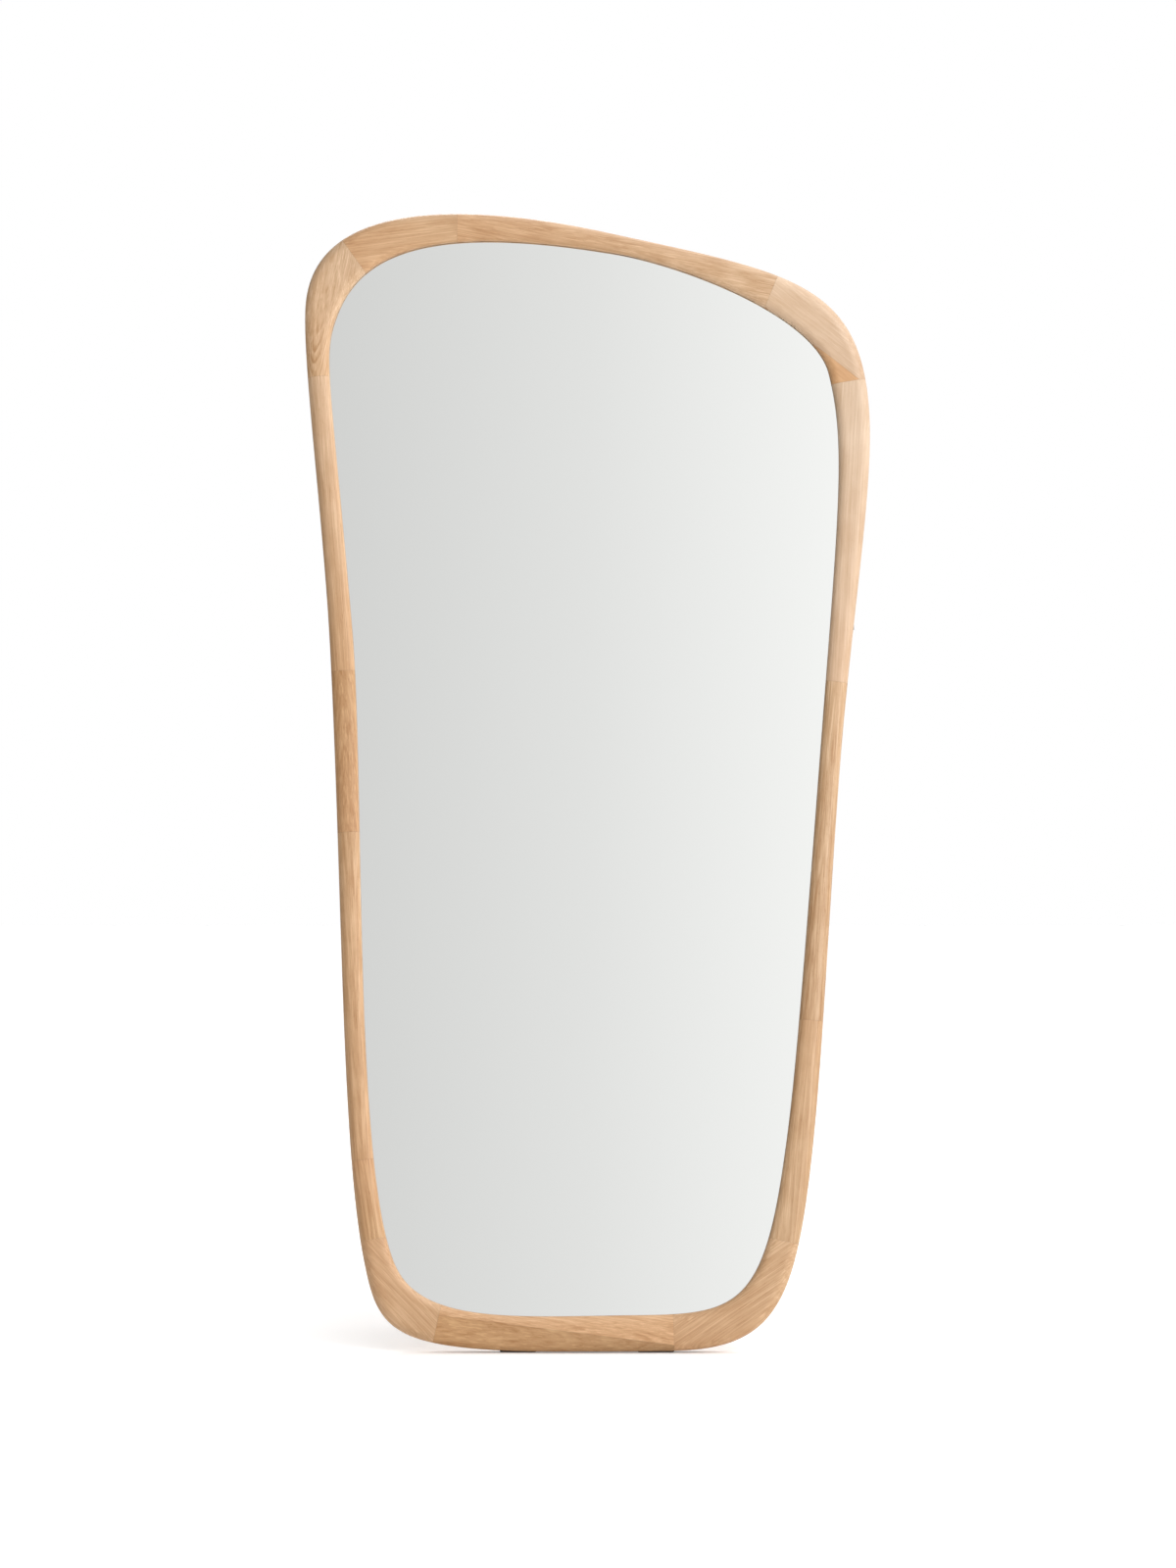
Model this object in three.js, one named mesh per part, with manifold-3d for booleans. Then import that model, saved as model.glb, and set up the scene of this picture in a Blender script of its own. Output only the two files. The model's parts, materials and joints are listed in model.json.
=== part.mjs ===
// A tall floor mirror in a freely curved solid wood frame, held up by a folding tube stand.
// Millimetres, +Z up. The mirror faces -Y and leans back. The origin is on the floor, in the
// middle of the room that the open mirror takes up. The frame is drawn flat first, in the
// panel's own axes: x across, y from the front to the back, z up along the panel.

import * as THREE from 'three';
import { mergeVertices } from 'three/addons/utils/BufferGeometryUtils.js';
import Module from 'manifold-3d';

const wasm = await Module();
wasm.setup();

// ---------------------------------------------------------------- driving dimensions

const WIDTH = 800; // outline, side to side
const HEIGHT = 1600; // outline, bottom to top, along the panel
const LEAN = 6; // degrees that the panel leans back from upright
const DEPTH = 30; // frame, front to back
const GAP = 0.3; // between pieces that rest on each other

// Frame section
const OUTER_ROUND = { across: 13, deep: 12 }; // quarter ellipse on the outer front edge
const INNER_ROUND = { across: 11, deep: 8.5 }; // quarter ellipse down to the sight edge
const BACK_ROUND = 2.5; // outer back edge
const LIP_DEPTH = 11; // front of the frame to the back of the lip that holds the glass
const REBATE = 5.5; // how far the lip covers the rebate
const SHOULDER = 7; // ledge that the backboard is screwed to

// What the rebate holds, from the front
const TAPE_THICKNESS = 1;
const TAPE_INSET = 1.2; // tape kept back from the sight edge
const GLASS_THICKNESS = 4;
const BOARD_THICKNESS = 5;
const BOARD_RECESS = 0.8; // backboard below the back of the frame
const EDGE_PLAY = 1; // glass and card to the rebate wall
const BOARD_PLAY = 0.5; // backboard to its ledge's wall

// Loose tenons between the blocks
const TENON = { thick: 8, wide: 14, long: 32, end_play: 1 };

// Screws: shank and head radius, head height, length under the head
const BOARD_SCREW = { shank: 1.5, head: 2.9, rise: 1.8, long: 17 };
const BRACKET_SCREW = { shank: 1.75, head: 3.4, rise: 2, long: 20 };
const SCREW_PLAY = 0.3;

// Folding stand
const PIVOT_UP = 1050; // hinge height along the panel
const SPLAY = 5; // degrees from upright to the open leg
const TUBE = { radius: 7, wall: 1.2 };
const AXIS_OUT = 13; // hinge axis behind the back of the frame
const BRACKET_IN = 12.5; // middle of a bracket, in from the outline
const LEG_STRAIGHT = 60; // leg below the hinge before it bends inwards
const FOOT_BAR = 420; // between the stand's two lower corners
const KNEE_RADIUS = 120;
const CORNER_RADIUS = 45;
const SLEEVE = { radius: 9, long: 40, apart: 240 };
const PLUG = { flange: 1.5, stem: 9 };

const BRACKET = { plate: 1.5, half_long: 44, screw_up: 36, ear_half: 15, ear_round: 8 };
const EAR_PLAY = 0.5; // tube to each ear
const BOLT = { shank: 2.5, head: 4.6, rise: 2.8, past_nut: 1.2 };
const NUT = { across_flats: 8, thick: 4 };

// Floor pads and wall bumpers
const PAD = { long: 50, wide: 11, thick: 2, apart: 190 };
const PLANED = 1.5; // taken off the outline's lowest part, so that the frame stands flat
const PLANED_FROM = 16; // depth at which the planed flat starts
const BUMPER = { radius: 11, thick: 5, in_from_edge: 20 };

// The outline was drawn at this size, and is stretched to WIDTH and HEIGHT.
const DRAWN = { width: 800, height: 1600 };

// Anchors of the outline, anticlockwise from the bottom as seen from the front. Each has its
// place, its heading in degrees from +x, and the reach of its two handles. The sight edge
// has one anchor for each: how far it lies in from the outline's anchor and along it, how
// far its heading is turned, and its own two reaches.
const ANCHORS = [
  { x: 120, z: 1.5, heading: 1, back: 387, on: 122,
    sight: { inward: 49.5, along: -50.5, turn: -0.5, back: 158, on: 132 } },
  { x: 300.5, z: 189, heading: 80.5, back: 138, on: 145,
    sight: { inward: 39.5, along: 50.5, turn: 0.5, back: 188, on: 98 } },
  { x: 353.5, z: 803, heading: 85.3, back: 255, on: 213,
    sight: { inward: 29, along: -2.5, turn: 0, back: 389, on: 376 } },
  { x: 399.3, z: 1313, heading: 93, back: 110, on: 191,
    sight: { inward: 54, along: 60, turn: 10.5, back: 105, on: 87 } },
  { x: 23, z: 1574.5, heading: 167.4, back: 271, on: 147,
    sight: { inward: 27.5, along: -23, turn: 3, back: 94, on: 281 } },
  { x: -399, z: 1468, heading: 266.2, back: 172, on: 77,
    sight: { inward: 45.5, along: 13.5, turn: -15.5, back: 91, on: 61 } },
  { x: -360.5, z: 975, heading: 273.3, back: 183, on: 351,
    sight: { inward: 32.5, along: -28.5, turn: 2, back: 374, on: 215 } },
  { x: -308, z: 126, heading: 281.6, back: 161, on: 120,
    sight: { inward: 43, along: 23, turn: 16.5, back: 134, on: 86 } },
];

// The frame's blocks, each named and starting at a station on the outline: 2.5 is half way
// from anchor 2 to anchor 3. A block ends where the next one starts.
const BLOCKS = [
  { name: 'frame_corner_bottom_right', from: 0 },
  { name: 'frame_right_rail_lower', from: 0.89 },
  { name: 'frame_right_rail_middle', from: 1.5 },
  { name: 'frame_right_rail_upper', from: 2.2 },
  { name: 'frame_corner_top_right', from: 3.09 },
  { name: 'frame_top_rail_right', from: 3.59 },
  { name: 'frame_top_rail_left', from: 4.4 },
  { name: 'frame_corner_top_left', from: 4.75 },
  { name: 'frame_left_rail_upper', from: 5.3 },
  { name: 'frame_left_rail_middle', from: 6.03 },
  { name: 'frame_left_rail_lower', from: 6.25 },
  { name: 'frame_left_rail_foot', from: 6.77 },
  { name: 'frame_corner_bottom_left', from: 6.95 },
  { name: 'frame_bottom_rail', from: 7.55 },
];

const BOARD_SCREW_STATIONS = [0.45, 1.35, 1.9, 2.75, 3.35, 4.15, 5.05, 6.12, 7.25];
const BUMPER_STATIONS = [3.42, 4.8];
const RIGHT_SIDE = [0.9, 3.3]; // stations where the outline only rises
const LEFT_SIDE = [7, 4.9]; // and where, taken backwards, it rises on the left

// ---------------------------------------------------------------- colours and finishes

const finish = (color, roughness, metalness = 0) => () =>
  new THREE.MeshStandardMaterial({ color, roughness, metalness });
const WOOD_TONES = ['#d2a87e', '#d6b28e', '#d0a67f', '#dbb68f', '#e6c9aa', '#dab48c', '#d3a981'];
const silvered = finish('#e2e2df', 0.04, 1);
const beech = finish('#d9b483', 0.7);
const tapeGrey = finish('#4b4a48', 0.9);
const cardBrown = finish('#b79a6d', 0.95);
const boardBrown = finish('#b08a5e', 0.8);
const zinc = finish('#b9bbbd', 0.35, 0.9);
const blackSteel = finish('#2a2a2b', 0.5, 0.3);
const blackPlastic = finish('#1e1e1f', 0.6);
const greyRubber = finish('#3b3a39', 0.85);

// ---------------------------------------------------------------- solids

const TURN_STEP = 6; // degrees that the outline may turn in one step
const LENGTH_STEP = 120; // and the length that counts as one more step
const PROBE_STEPS = 24; // steps in which a block's bend is measured
const SIGHT_STEPS = 60; // straight pieces between two anchors of the sight edge
const SCREW_SIDES = 10;
const TUBE_SIDES = 12; // and the sides of the bolts, plugs and bores that go with it
const RUBBER_SIDES = 16;
const EAR_STEPS = 8; // facets in the round top of an ear and in the ends of a floor pad
const OVERRUN = 2; // how far a cutter runs on past what it cuts
const radians = THREE.MathUtils.degToRad;

function closed(geometry) {
  const bare = geometry.clone();
  bare.deleteAttribute('normal');
  bare.deleteAttribute('uv');
  const merged = mergeVertices(bare, 1e-4);
  const index = Array.from(merged.index.array);
  merged.setIndex(signedVolume(merged, index) < 0 ? index.reverse() : index);
  merged.computeVertexNormals();
  return merged;
}

function signedVolume(geometry, index) {
  const corner = (i) => new THREE.Vector3().fromBufferAttribute(geometry.attributes.position, i);
  let volume = 0;
  for (let i = 0; i < index.length; i += 3) {
    volume += corner(index[i]).dot(corner(index[i + 1]).cross(corner(index[i + 2]))) / 6;
  }
  return volume;
}

function toManifold(geometry) {
  const { attributes, index } = closed(geometry);
  return new wasm.Manifold(new wasm.Mesh({
    numProp: 3,
    vertProperties: new Float32Array(attributes.position.array),
    triVerts: new Uint32Array(index.array),
  }));
}

function toGeometry(manifold) {
  const mesh = manifold.getMesh();
  const geometry = new THREE.BufferGeometry();
  geometry.setAttribute('position', new THREE.BufferAttribute(mesh.vertProperties, 3));
  geometry.setIndex(new THREE.BufferAttribute(mesh.triVerts, 1));
  geometry.computeVertexNormals();
  return geometry;
}

function cut(geometry, cutters) {
  const cutAway = (body, cutter) => body.subtract(toManifold(cutter));
  return toGeometry(cutters.reduce(cutAway, toManifold(geometry)));
}

function join(geometries) {
  return toGeometry(geometries.map(toManifold).reduce((body, more) => body.add(more)));
}

// Skins a row of rings that all have the same number of points, and closes both ends. `flat`
// is one ring seen square on, which the ends are filled from.
function loft(rings, flat) {
  const count = flat.length;
  const index = [];
  for (let r = 0; r + 1 < rings.length; r++) {
    for (let i = 0; i < count; i++) {
      const j = (i + 1) % count;
      const [here, next] = [r * count, (r + 1) * count];
      index.push(here + i, here + j, next + j, here + i, next + j, next + i);
    }
  }
  const last = (rings.length - 1) * count;
  const sense = Math.sign(THREE.ShapeUtils.area(flat));
  for (const face of THREE.ShapeUtils.triangulateShape(flat, [])) {
    const area = THREE.ShapeUtils.area(face.map((i) => flat[i]));
    const [a, b, c] = Math.sign(area) === sense ? face : [...face].reverse();
    index.push(a, c, b, last + a, last + b, last + c);
  }
  const geometry = new THREE.BufferGeometry().setFromPoints(rings.flat());
  return closed(geometry.setIndex(index));
}

// A solid turned about the y axis from a profile of [radius, y] points.
const turned = (profile, sides) =>
  closed(new THREE.LatheGeometry(profile.map(([r, y]) => new THREE.Vector2(r, y)), sides));

// ---------------------------------------------------------------- outline and sight edge

const stretch = new THREE.Vector2(WIDTH / DRAWN.width, HEIGHT / DRAWN.height);
const headingVector = (angle) => new THREE.Vector2(Math.cos(angle), Math.sin(angle));

const outlineAnchors = ANCHORS.map(({ x, z, heading, back, on }) => {
  const point = new THREE.Vector2(x, z).multiply(stretch);
  const along = headingVector(radians(heading)).multiply(stretch);
  const before = point.clone().addScaledVector(along, -back);
  const after = point.clone().addScaledVector(along, on);
  return { point, before, after, along };
});

const sightAnchors = ANCHORS.map(({ sight }, i) => {
  const angle = outlineAnchors[i].along.angle();
  const along = headingVector(angle);
  const inward = new THREE.Vector2(-along.y, along.x);
  const point = outlineAnchors[i].point.clone()
    .addScaledVector(inward, sight.inward)
    .addScaledVector(along, sight.along);
  const handle = headingVector(angle + radians(sight.turn))
    .multiplyScalar(outlineAnchors[i].along.length());
  const before = point.clone().addScaledVector(handle, -sight.back);
  const after = point.clone().addScaledVector(handle, sight.on);
  return { point, before, after };
});

const chain = (anchors) => anchors.map((from, i) => {
  const to = anchors[(i + 1) % anchors.length];
  return new THREE.CubicBezierCurve(from.point, from.after, to.before, to.point);
});
const outline = chain(outlineAnchors);
const sightPoints = chain(sightAnchors).flatMap((curve) => curve.getPoints(SIGHT_STEPS).slice(0, -1));

function onOutline(station) {
  const wrapped = THREE.MathUtils.euclideanModulo(station, outline.length);
  const curve = outline[Math.floor(wrapped)];
  return { edge: curve.getPoint(wrapped % 1), along: curve.getTangent(wrapped % 1) };
}

// A station's cross-section stands square to the outline. `face` is the frame's width there,
// from the outline to where the inward normal meets the sight edge.
function sectionAt(station) {
  const { edge, along } = onOutline(station);
  const inward = new THREE.Vector2(-along.y, along.x);
  let face = Infinity;
  sightPoints.forEach((from, i) => {
    const to = sightPoints[(i + 1) % sightPoints.length];
    const behind = from.clone().sub(edge).dot(along);
    const ahead = to.clone().sub(edge).dot(along);
    if (behind > 0 || ahead <= 0) return;
    const crossing = from.clone().lerp(to, behind / (behind - ahead));
    face = Math.min(face, crossing.sub(edge).dot(inward));
  });
  return { station, edge, along, inward, face };
}

// A place at a section, in panel axes: `across` in from the outline, `deep` behind the front
// and `ahead` along the outline.
function place({ edge, inward, along }, across, deep, ahead = 0) {
  const spot = edge.clone().addScaledVector(inward, across).addScaledVector(along, ahead);
  return new THREE.Vector3(spot.x, deep, spot.y);
}

// Halves a stretch of the outline until it is at one height on the panel.
function stationAtHeight([below, above], height) {
  for (let halving = 0; halving < 40; halving++) {
    const middle = (below + above) / 2;
    const low = onOutline(middle).edge.y < height;
    [below, above] = low ? [middle, above] : [below, middle];
  }
  return (below + above) / 2;
}

// Evenly spread sections between two stations, both included. Bends get more of them.
function sectionsBetween(from, to) {
  const station = (i, count) => from + ((to - from) * i) / count;
  const probes = Array.from({ length: PROBE_STEPS + 1 }, (_, i) =>
    onOutline(station(i, PROBE_STEPS)));
  let steps = 0;
  for (let i = 1; i < probes.length; i++) {
    const [a, b] = [probes[i - 1], probes[i]];
    const turn = THREE.MathUtils.radToDeg(Math.acos(Math.min(1, a.along.dot(b.along))));
    steps += turn / TURN_STEP + a.edge.distanceTo(b.edge) / LENGTH_STEP;
  }
  const count = Math.ceil(steps);
  return Array.from({ length: count + 1 }, (_, i) => sectionAt(station(i, count)));
}

const blocks = BLOCKS.map(({ name, from }, i) => {
  const to = i + 1 < BLOCKS.length ? BLOCKS[i + 1].from : outline.length;
  return { name, from, to, sections: sectionsBetween(from, to) };
});
const roundTheFrame = blocks.flatMap(({ sections }) => sections.slice(0, -1));

// ---------------------------------------------------------------- layers in the rebate

const shoulderDepth = DEPTH - BOARD_RECESS - BOARD_THICKNESS - GAP;
const tapeFront = LIP_DEPTH + GAP;
const glassFront = tapeFront + TAPE_THICKNESS + GAP;
const cardFront = glassFront + GLASS_THICKNESS + GAP;
const cardThickness = shoulderDepth - cardFront;
const boardFront = shoulderDepth + GAP;
const boardBack = boardFront + BOARD_THICKNESS;

// A flat sheet whose edge lies `under` the frame, measured out from the sight edge.
function sheet(under, front, thickness) {
  const ring = (deep) => roundTheFrame.map((section) => place(section, section.face - under, deep));
  const rings = [ring(front), ring(front + thickness)];
  return loft(rings, rings[0].map(({ x, z }) => new THREE.Vector2(x, z)));
}

function tapeRing() {
  const hole = sheet(TAPE_INSET, tapeFront - OVERRUN, TAPE_THICKNESS + 2 * OVERRUN);
  return cut(sheet(REBATE - EDGE_PLAY, tapeFront, TAPE_THICKNESS), [hole]);
}

// ---------------------------------------------------------------- screws

// A screw is placed by its seat, the spot under its head. It points to the front.
function screwGeometry({ shank, head, rise, long }) {
  const profile = [
    [0, -long], [shank, -long + 2 * shank], [shank, 0], [head, 0],
    [head, 0.4 * rise], [0.75 * head, rise], [0, rise],
  ];
  return turned(profile, SCREW_SIDES);
}

function screwHole(seat, { shank, long }) {
  const [radius, below] = [shank + SCREW_PLAY, long + SCREW_PLAY];
  const hole = new THREE.CylinderGeometry(radius, radius, below + OVERRUN, SCREW_SIDES);
  return hole.translate(seat.x, seat.y + (OVERRUN - below) / 2, seat.z);
}

const boardScrews = BOARD_SCREW_STATIONS.map((station, i) => {
  const section = sectionAt(station);
  const seat = place(section, section.face - REBATE - SHOULDER / 2, boardBack + GAP);
  return { name: `backboard_screw_${i + 1}`, station, seat, size: BOARD_SCREW };
});

const hinges = [['left', LEFT_SIDE, -1], ['right', RIGHT_SIDE, 1]].map(([side, stations, out]) => {
  const section = sectionAt(stationAtHeight(stations, PIVOT_UP));
  const axis = place(section, BRACKET_IN, DEPTH + AXIS_OUT).setZ(PIVOT_UP);
  return { side, stations, out, axis };
});
const plateBack = DEPTH + GAP + BRACKET.plate;
const bracketScrews = hinges.flatMap(({ side, stations, axis }) =>
  [['upper', BRACKET.screw_up], ['lower', -BRACKET.screw_up]].map(([level, up]) => ({
    name: `bracket_screw_${side}_${level}`,
    station: stationAtHeight(stations, PIVOT_UP + up),
    seat: new THREE.Vector3(axis.x, plateBack + GAP, PIVOT_UP + up),
    size: BRACKET_SCREW,
  })));
const screws = [...boardScrews, ...bracketScrews];

// ---------------------------------------------------------------- how the panel stands

const panel = new THREE.Group();
panel.rotation.x = -radians(LEAN);
const floorToFrame = PAD.thick + GAP;
const planedAt = PLANED * Math.cos(radians(LEAN)) - PLANED_FROM * Math.sin(radians(LEAN));
panel.position.z = floorToFrame - planedAt;
panel.updateMatrixWorld();

// All that lies lower than the floor pads' tops, in panel axes.
function belowTheFrame() {
  const slab = new THREE.BoxGeometry(2 * WIDTH, 8 * DEPTH, 4 * DEPTH);
  slab.translate(0, 0, floorToFrame - 2 * DEPTH);
  return slab.applyMatrix4(panel.matrixWorld.clone().invert());
}

// ---------------------------------------------------------------- frame blocks and tenons

const ROUND_STEPS = 4; // facets in each rounded front edge
const BACK_STEPS = 2;

// The frame's section for a face width, as [across, deep] points: from the outer wall over
// the front to the lip, along the rebate and the ledge, and round the back edge.
function frameProfile(face) {
  const points = [];
  for (let i = 0; i <= ROUND_STEPS; i++) {
    const angle = ((Math.PI / 2) * i) / ROUND_STEPS;
    const { across, deep } = OUTER_ROUND;
    points.push([across * (1 - Math.cos(angle)), deep * (1 - Math.sin(angle))]);
  }
  for (let i = 0; i <= ROUND_STEPS; i++) {
    const angle = ((Math.PI / 2) * i) / ROUND_STEPS;
    const { across, deep } = INNER_ROUND;
    points.push([face - across * (1 - Math.sin(angle)), deep * (1 - Math.cos(angle))]);
  }
  const [wall, ledge] = [face - REBATE, face - REBATE - SHOULDER];
  points.push([face, LIP_DEPTH], [wall, LIP_DEPTH], [wall, shoulderDepth]);
  points.push([ledge, shoulderDepth], [ledge, DEPTH]);
  for (let i = 0; i <= BACK_STEPS; i++) {
    const angle = ((Math.PI / 2) * i) / BACK_STEPS;
    points.push([BACK_ROUND * (1 - Math.sin(angle)), DEPTH - BACK_ROUND * (1 - Math.cos(angle))]);
  }
  return points;
}

// A tenon and its mortises are one shape: a bar with rounded long edges, through the middle
// of the joint and along the outline. A mortise is larger all round by its play.
function tenonBar(station, play, endPlay) {
  const section = sectionAt(station);
  const [across, deep] = [(section.face - REBATE) / 2, (LIP_DEPTH + shoulderDepth) / 2];
  const radius = TENON.thick / 2 + play;
  const straight = (TENON.wide - TENON.thick) / 2;
  const flat = [];
  for (const [centre, start] of [[straight, 0], [-straight, Math.PI]]) {
    for (let i = 0; i <= 4; i++) {
      const angle = start + (Math.PI * i) / 4;
      flat.push(new THREE.Vector2(radius * Math.cos(angle), centre + radius * Math.sin(angle)));
    }
  }
  const reach = TENON.long / 2 + endPlay;
  const rings = [-reach, reach].map((ahead) =>
    flat.map(({ x, y }) => place(section, across + x, deep + y, ahead)));
  return loft(rings, flat);
}

function frameBlock({ from, to, sections }) {
  const ring = (section, i) => {
    const trim = (i === 0) - (i === sections.length - 1);
    const profile = frameProfile(section.face);
    return profile.map(([across, deep]) => place(section, across, deep, (trim * GAP) / 2));
  };
  const flat = frameProfile(sections[0].face).map(([x, y]) => new THREE.Vector2(x, y));
  const mortises = [from, to].map((station) => tenonBar(station, GAP, TENON.end_play));
  const holes = screws.filter(({ station }) => station >= from && station < to)
    .map(({ seat, size }) => screwHole(seat, size));
  return cut(loft(sections.map(ring), flat), [...mortises, ...holes, belowTheFrame()]);
}

// ---------------------------------------------------------------- hinge of the stand

// The bracket, bolt and nut are made about the hinge axis, in panel axes.
const halfBracket = TUBE.radius + EAR_PLAY + BRACKET.plate;

const alongX = (geometry) => geometry.rotateZ(-Math.PI / 2);
const boltHole = (long) =>
  alongX(new THREE.CylinderGeometry(BOLT.shank + GAP, BOLT.shank + GAP, long, TUBE_SIDES));

function bracketGeometry() {
  const base = GAP - AXIS_OUT;
  const { plate, half_long, screw_up, ear_half, ear_round } = BRACKET;
  const strip = new THREE.BoxGeometry(2 * halfBracket, plate, 2 * half_long);
  strip.translate(0, base + plate / 2, 0);
  const outlineOfEar = new THREE.Shape();
  outlineOfEar.moveTo(-ear_half, base);
  outlineOfEar.absarc(0, 0, ear_round, Math.PI, 0, true);
  outlineOfEar.lineTo(ear_half, base);
  const ears = [-halfBracket, halfBracket - plate].map((x) =>
    new THREE.ExtrudeGeometry(outlineOfEar, {
      depth: plate, bevelEnabled: false, curveSegments: EAR_STEPS,
    }).rotateY(Math.PI / 2).translate(x, 0, 0));
  const holes = [screw_up, -screw_up].map((up) =>
    screwHole(new THREE.Vector3(0, base + plate + GAP, up), BRACKET_SCREW));
  return cut(join([strip, ...ears]), [boltHole(4 * halfBracket), ...holes]);
}

function boltGeometry() {
  const { shank, head, rise, past_nut } = BOLT;
  const start = -halfBracket - GAP;
  const end = halfBracket + GAP + NUT.thick + past_nut;
  const profile = [
    [0, start - rise], [0.6 * head, start - rise], [head, start - 0.4 * rise],
    [head, start], [shank, start], [shank, end], [0, end],
  ];
  return alongX(turned(profile, TUBE_SIDES));
}

function nutGeometry() {
  const corner = NUT.across_flats / Math.sqrt(3);
  const hexagon = alongX(new THREE.CylinderGeometry(corner, corner, NUT.thick, 6));
  const nut = cut(hexagon, [boltHole(4 * NUT.thick)]);
  return nut.translate(halfBracket + GAP + NUT.thick / 2, 0, 0);
}

// ---------------------------------------------------------------- folding stand

// The stand is drawn in its own plane, x across and z up from the hinge axis.
const hingeAxis = new THREE.Vector3(0, DEPTH + AXIS_OUT, PIVOT_UP).applyMatrix4(panel.matrixWorld);
const legLength = (hingeAxis.z - SLEEVE.radius) / Math.cos(radians(SPLAY));
const footMiddle = (hinges[0].axis.x + hinges[1].axis.x) / 2;

// The leg runs on past the hinge, so that its plug bears on the bracket's plate when the
// stand is open: a heel that is the stand's stop.
const openAngle = radians(LEAN + SPLAY);
const toPlate = AXIS_OUT - BRACKET.plate - 2 * GAP;
const heel = (toPlate - TUBE.radius * Math.cos(openAngle)) / Math.sin(openAngle);
const tubeEnd = heel - PLUG.flange - GAP;

// Straight runs between corners, each corner rounded off. Gives points with their heading.
function bentPath(corners, radii) {
  const path = [];
  corners.forEach((corner, i) => {
    const [before, after] = [corners[i - 1], corners[i + 1]];
    const arriving = before && corner.clone().sub(before).normalize();
    const leaving = after && after.clone().sub(corner).normalize();
    if (!before || !after) {
      path.push({ point: corner, heading: arriving ?? leaving });
      return;
    }
    const turn = Math.atan2(arriving.cross(leaving), arriving.dot(leaving));
    const radius = radii[i - 1];
    const side = new THREE.Vector2(-arriving.y, arriving.x).multiplyScalar(Math.sign(turn));
    const setback = radius * Math.tan(Math.abs(turn) / 2);
    const centre = corner.clone().addScaledVector(arriving, -setback).addScaledVector(side, radius);
    const steps = Math.ceil(Math.abs(turn) / radians(15)) + 1;
    for (let step = 0; step <= steps; step++) {
      const angle = (turn * step) / steps;
      const spoke = side.clone().rotateAround(new THREE.Vector2(), angle);
      const point = centre.clone().addScaledVector(spoke, -radius);
      path.push({ point, heading: arriving.clone().rotateAround(new THREE.Vector2(), angle) });
    }
  });
  return path;
}

function tubeAlong(path, radius, overrun) {
  const flat = Array.from({ length: TUBE_SIDES }, (_, i) => {
    const angle = (2 * Math.PI * (i + 0.5)) / TUBE_SIDES;
    return new THREE.Vector2(radius * Math.cos(angle), radius * Math.sin(angle));
  });
  const rings = path.map(({ point, heading }, i) => {
    const onward = overrun * ((i === path.length - 1) - (i === 0));
    const centre = point.clone().addScaledVector(heading, onward);
    return flat.map(({ x, y }) =>
      new THREE.Vector3(centre.x - heading.y * x, y, centre.y + heading.x * x));
  });
  return loft(rings, flat);
}

function standTube() {
  const [left, right] = hinges.map(({ axis }) => axis.x);
  const [footLeft, footRight] = [footMiddle - FOOT_BAR / 2, footMiddle + FOOT_BAR / 2];
  const corners = [
    [left, tubeEnd], [left, -LEG_STRAIGHT], [footLeft, -legLength],
    [footRight, -legLength], [right, -LEG_STRAIGHT], [right, tubeEnd],
  ].map(([x, z]) => new THREE.Vector2(x, z));
  const path = bentPath(corners, [KNEE_RADIUS, CORNER_RADIUS, CORNER_RADIUS, KNEE_RADIUS]);
  const holes = [left, right].map((x) => boltHole(4 * TUBE.radius).translate(x, 0, 0));
  const bore = tubeAlong(path, TUBE.radius - TUBE.wall, OVERRUN);
  return cut(tubeAlong(path, TUBE.radius, 0), [bore, ...holes]);
}

function plugGeometry() {
  const stem = (TUBE.radius - TUBE.wall) * Math.cos(Math.PI / TUBE_SIDES) - GAP;
  const [low, top] = [heel - PLUG.flange - PLUG.stem, heel];
  const profile = [
    [0, low], [stem, low], [stem, top - PLUG.flange], [TUBE.radius, top - PLUG.flange],
    [TUBE.radius, top], [0, top],
  ];
  return turned(profile, TUBE_SIDES).rotateX(Math.PI / 2);
}

function sleeveGeometry() {
  const [bore, half] = [TUBE.radius / Math.cos(Math.PI / RUBBER_SIDES) + GAP, SLEEVE.long / 2];
  const profile = [
    [bore, -half], [SLEEVE.radius - 0.5, -half], [SLEEVE.radius, -half + 1],
    [SLEEVE.radius, half - 1], [SLEEVE.radius - 0.5, half], [bore, half], [bore, -half],
  ];
  return alongX(turned(profile, RUBBER_SIDES));
}

// ---------------------------------------------------------------- pads and bumpers

function padGeometry() {
  const [end, radius] = [(PAD.long - PAD.wide) / 2, PAD.wide / 2];
  const shape = new THREE.Shape();
  shape.absarc(end, 0, radius, -Math.PI / 2, Math.PI / 2);
  shape.absarc(-end, 0, radius, Math.PI / 2, (3 * Math.PI) / 2);
  return new THREE.ExtrudeGeometry(shape, {
    depth: PAD.thick, bevelEnabled: false, curveSegments: EAR_STEPS,
  });
}

function bumperGeometry() {
  const { radius, thick } = BUMPER;
  const profile = [
    [0, 0], [radius, 0], [radius, 0.6 * thick], [0.8 * radius, thick], [0, thick],
  ];
  return turned(profile, RUBBER_SIDES);
}

// ---------------------------------------------------------------- the whole mirror

function addMesh(group, name, geometry, material, spot = new THREE.Vector3()) {
  const mesh = new THREE.Mesh(geometry, material());
  mesh.name = name;
  mesh.position.copy(spot);
  group.add(mesh);
  return mesh;
}

blocks.forEach((block, i) => {
  const tone = finish(WOOD_TONES[i % WOOD_TONES.length], 0.55);
  addMesh(panel, block.name, frameBlock(block), tone);
  addMesh(panel, `tenon_${i + 1}`, tenonBar(block.from, 0, 0), beech);
});

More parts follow.
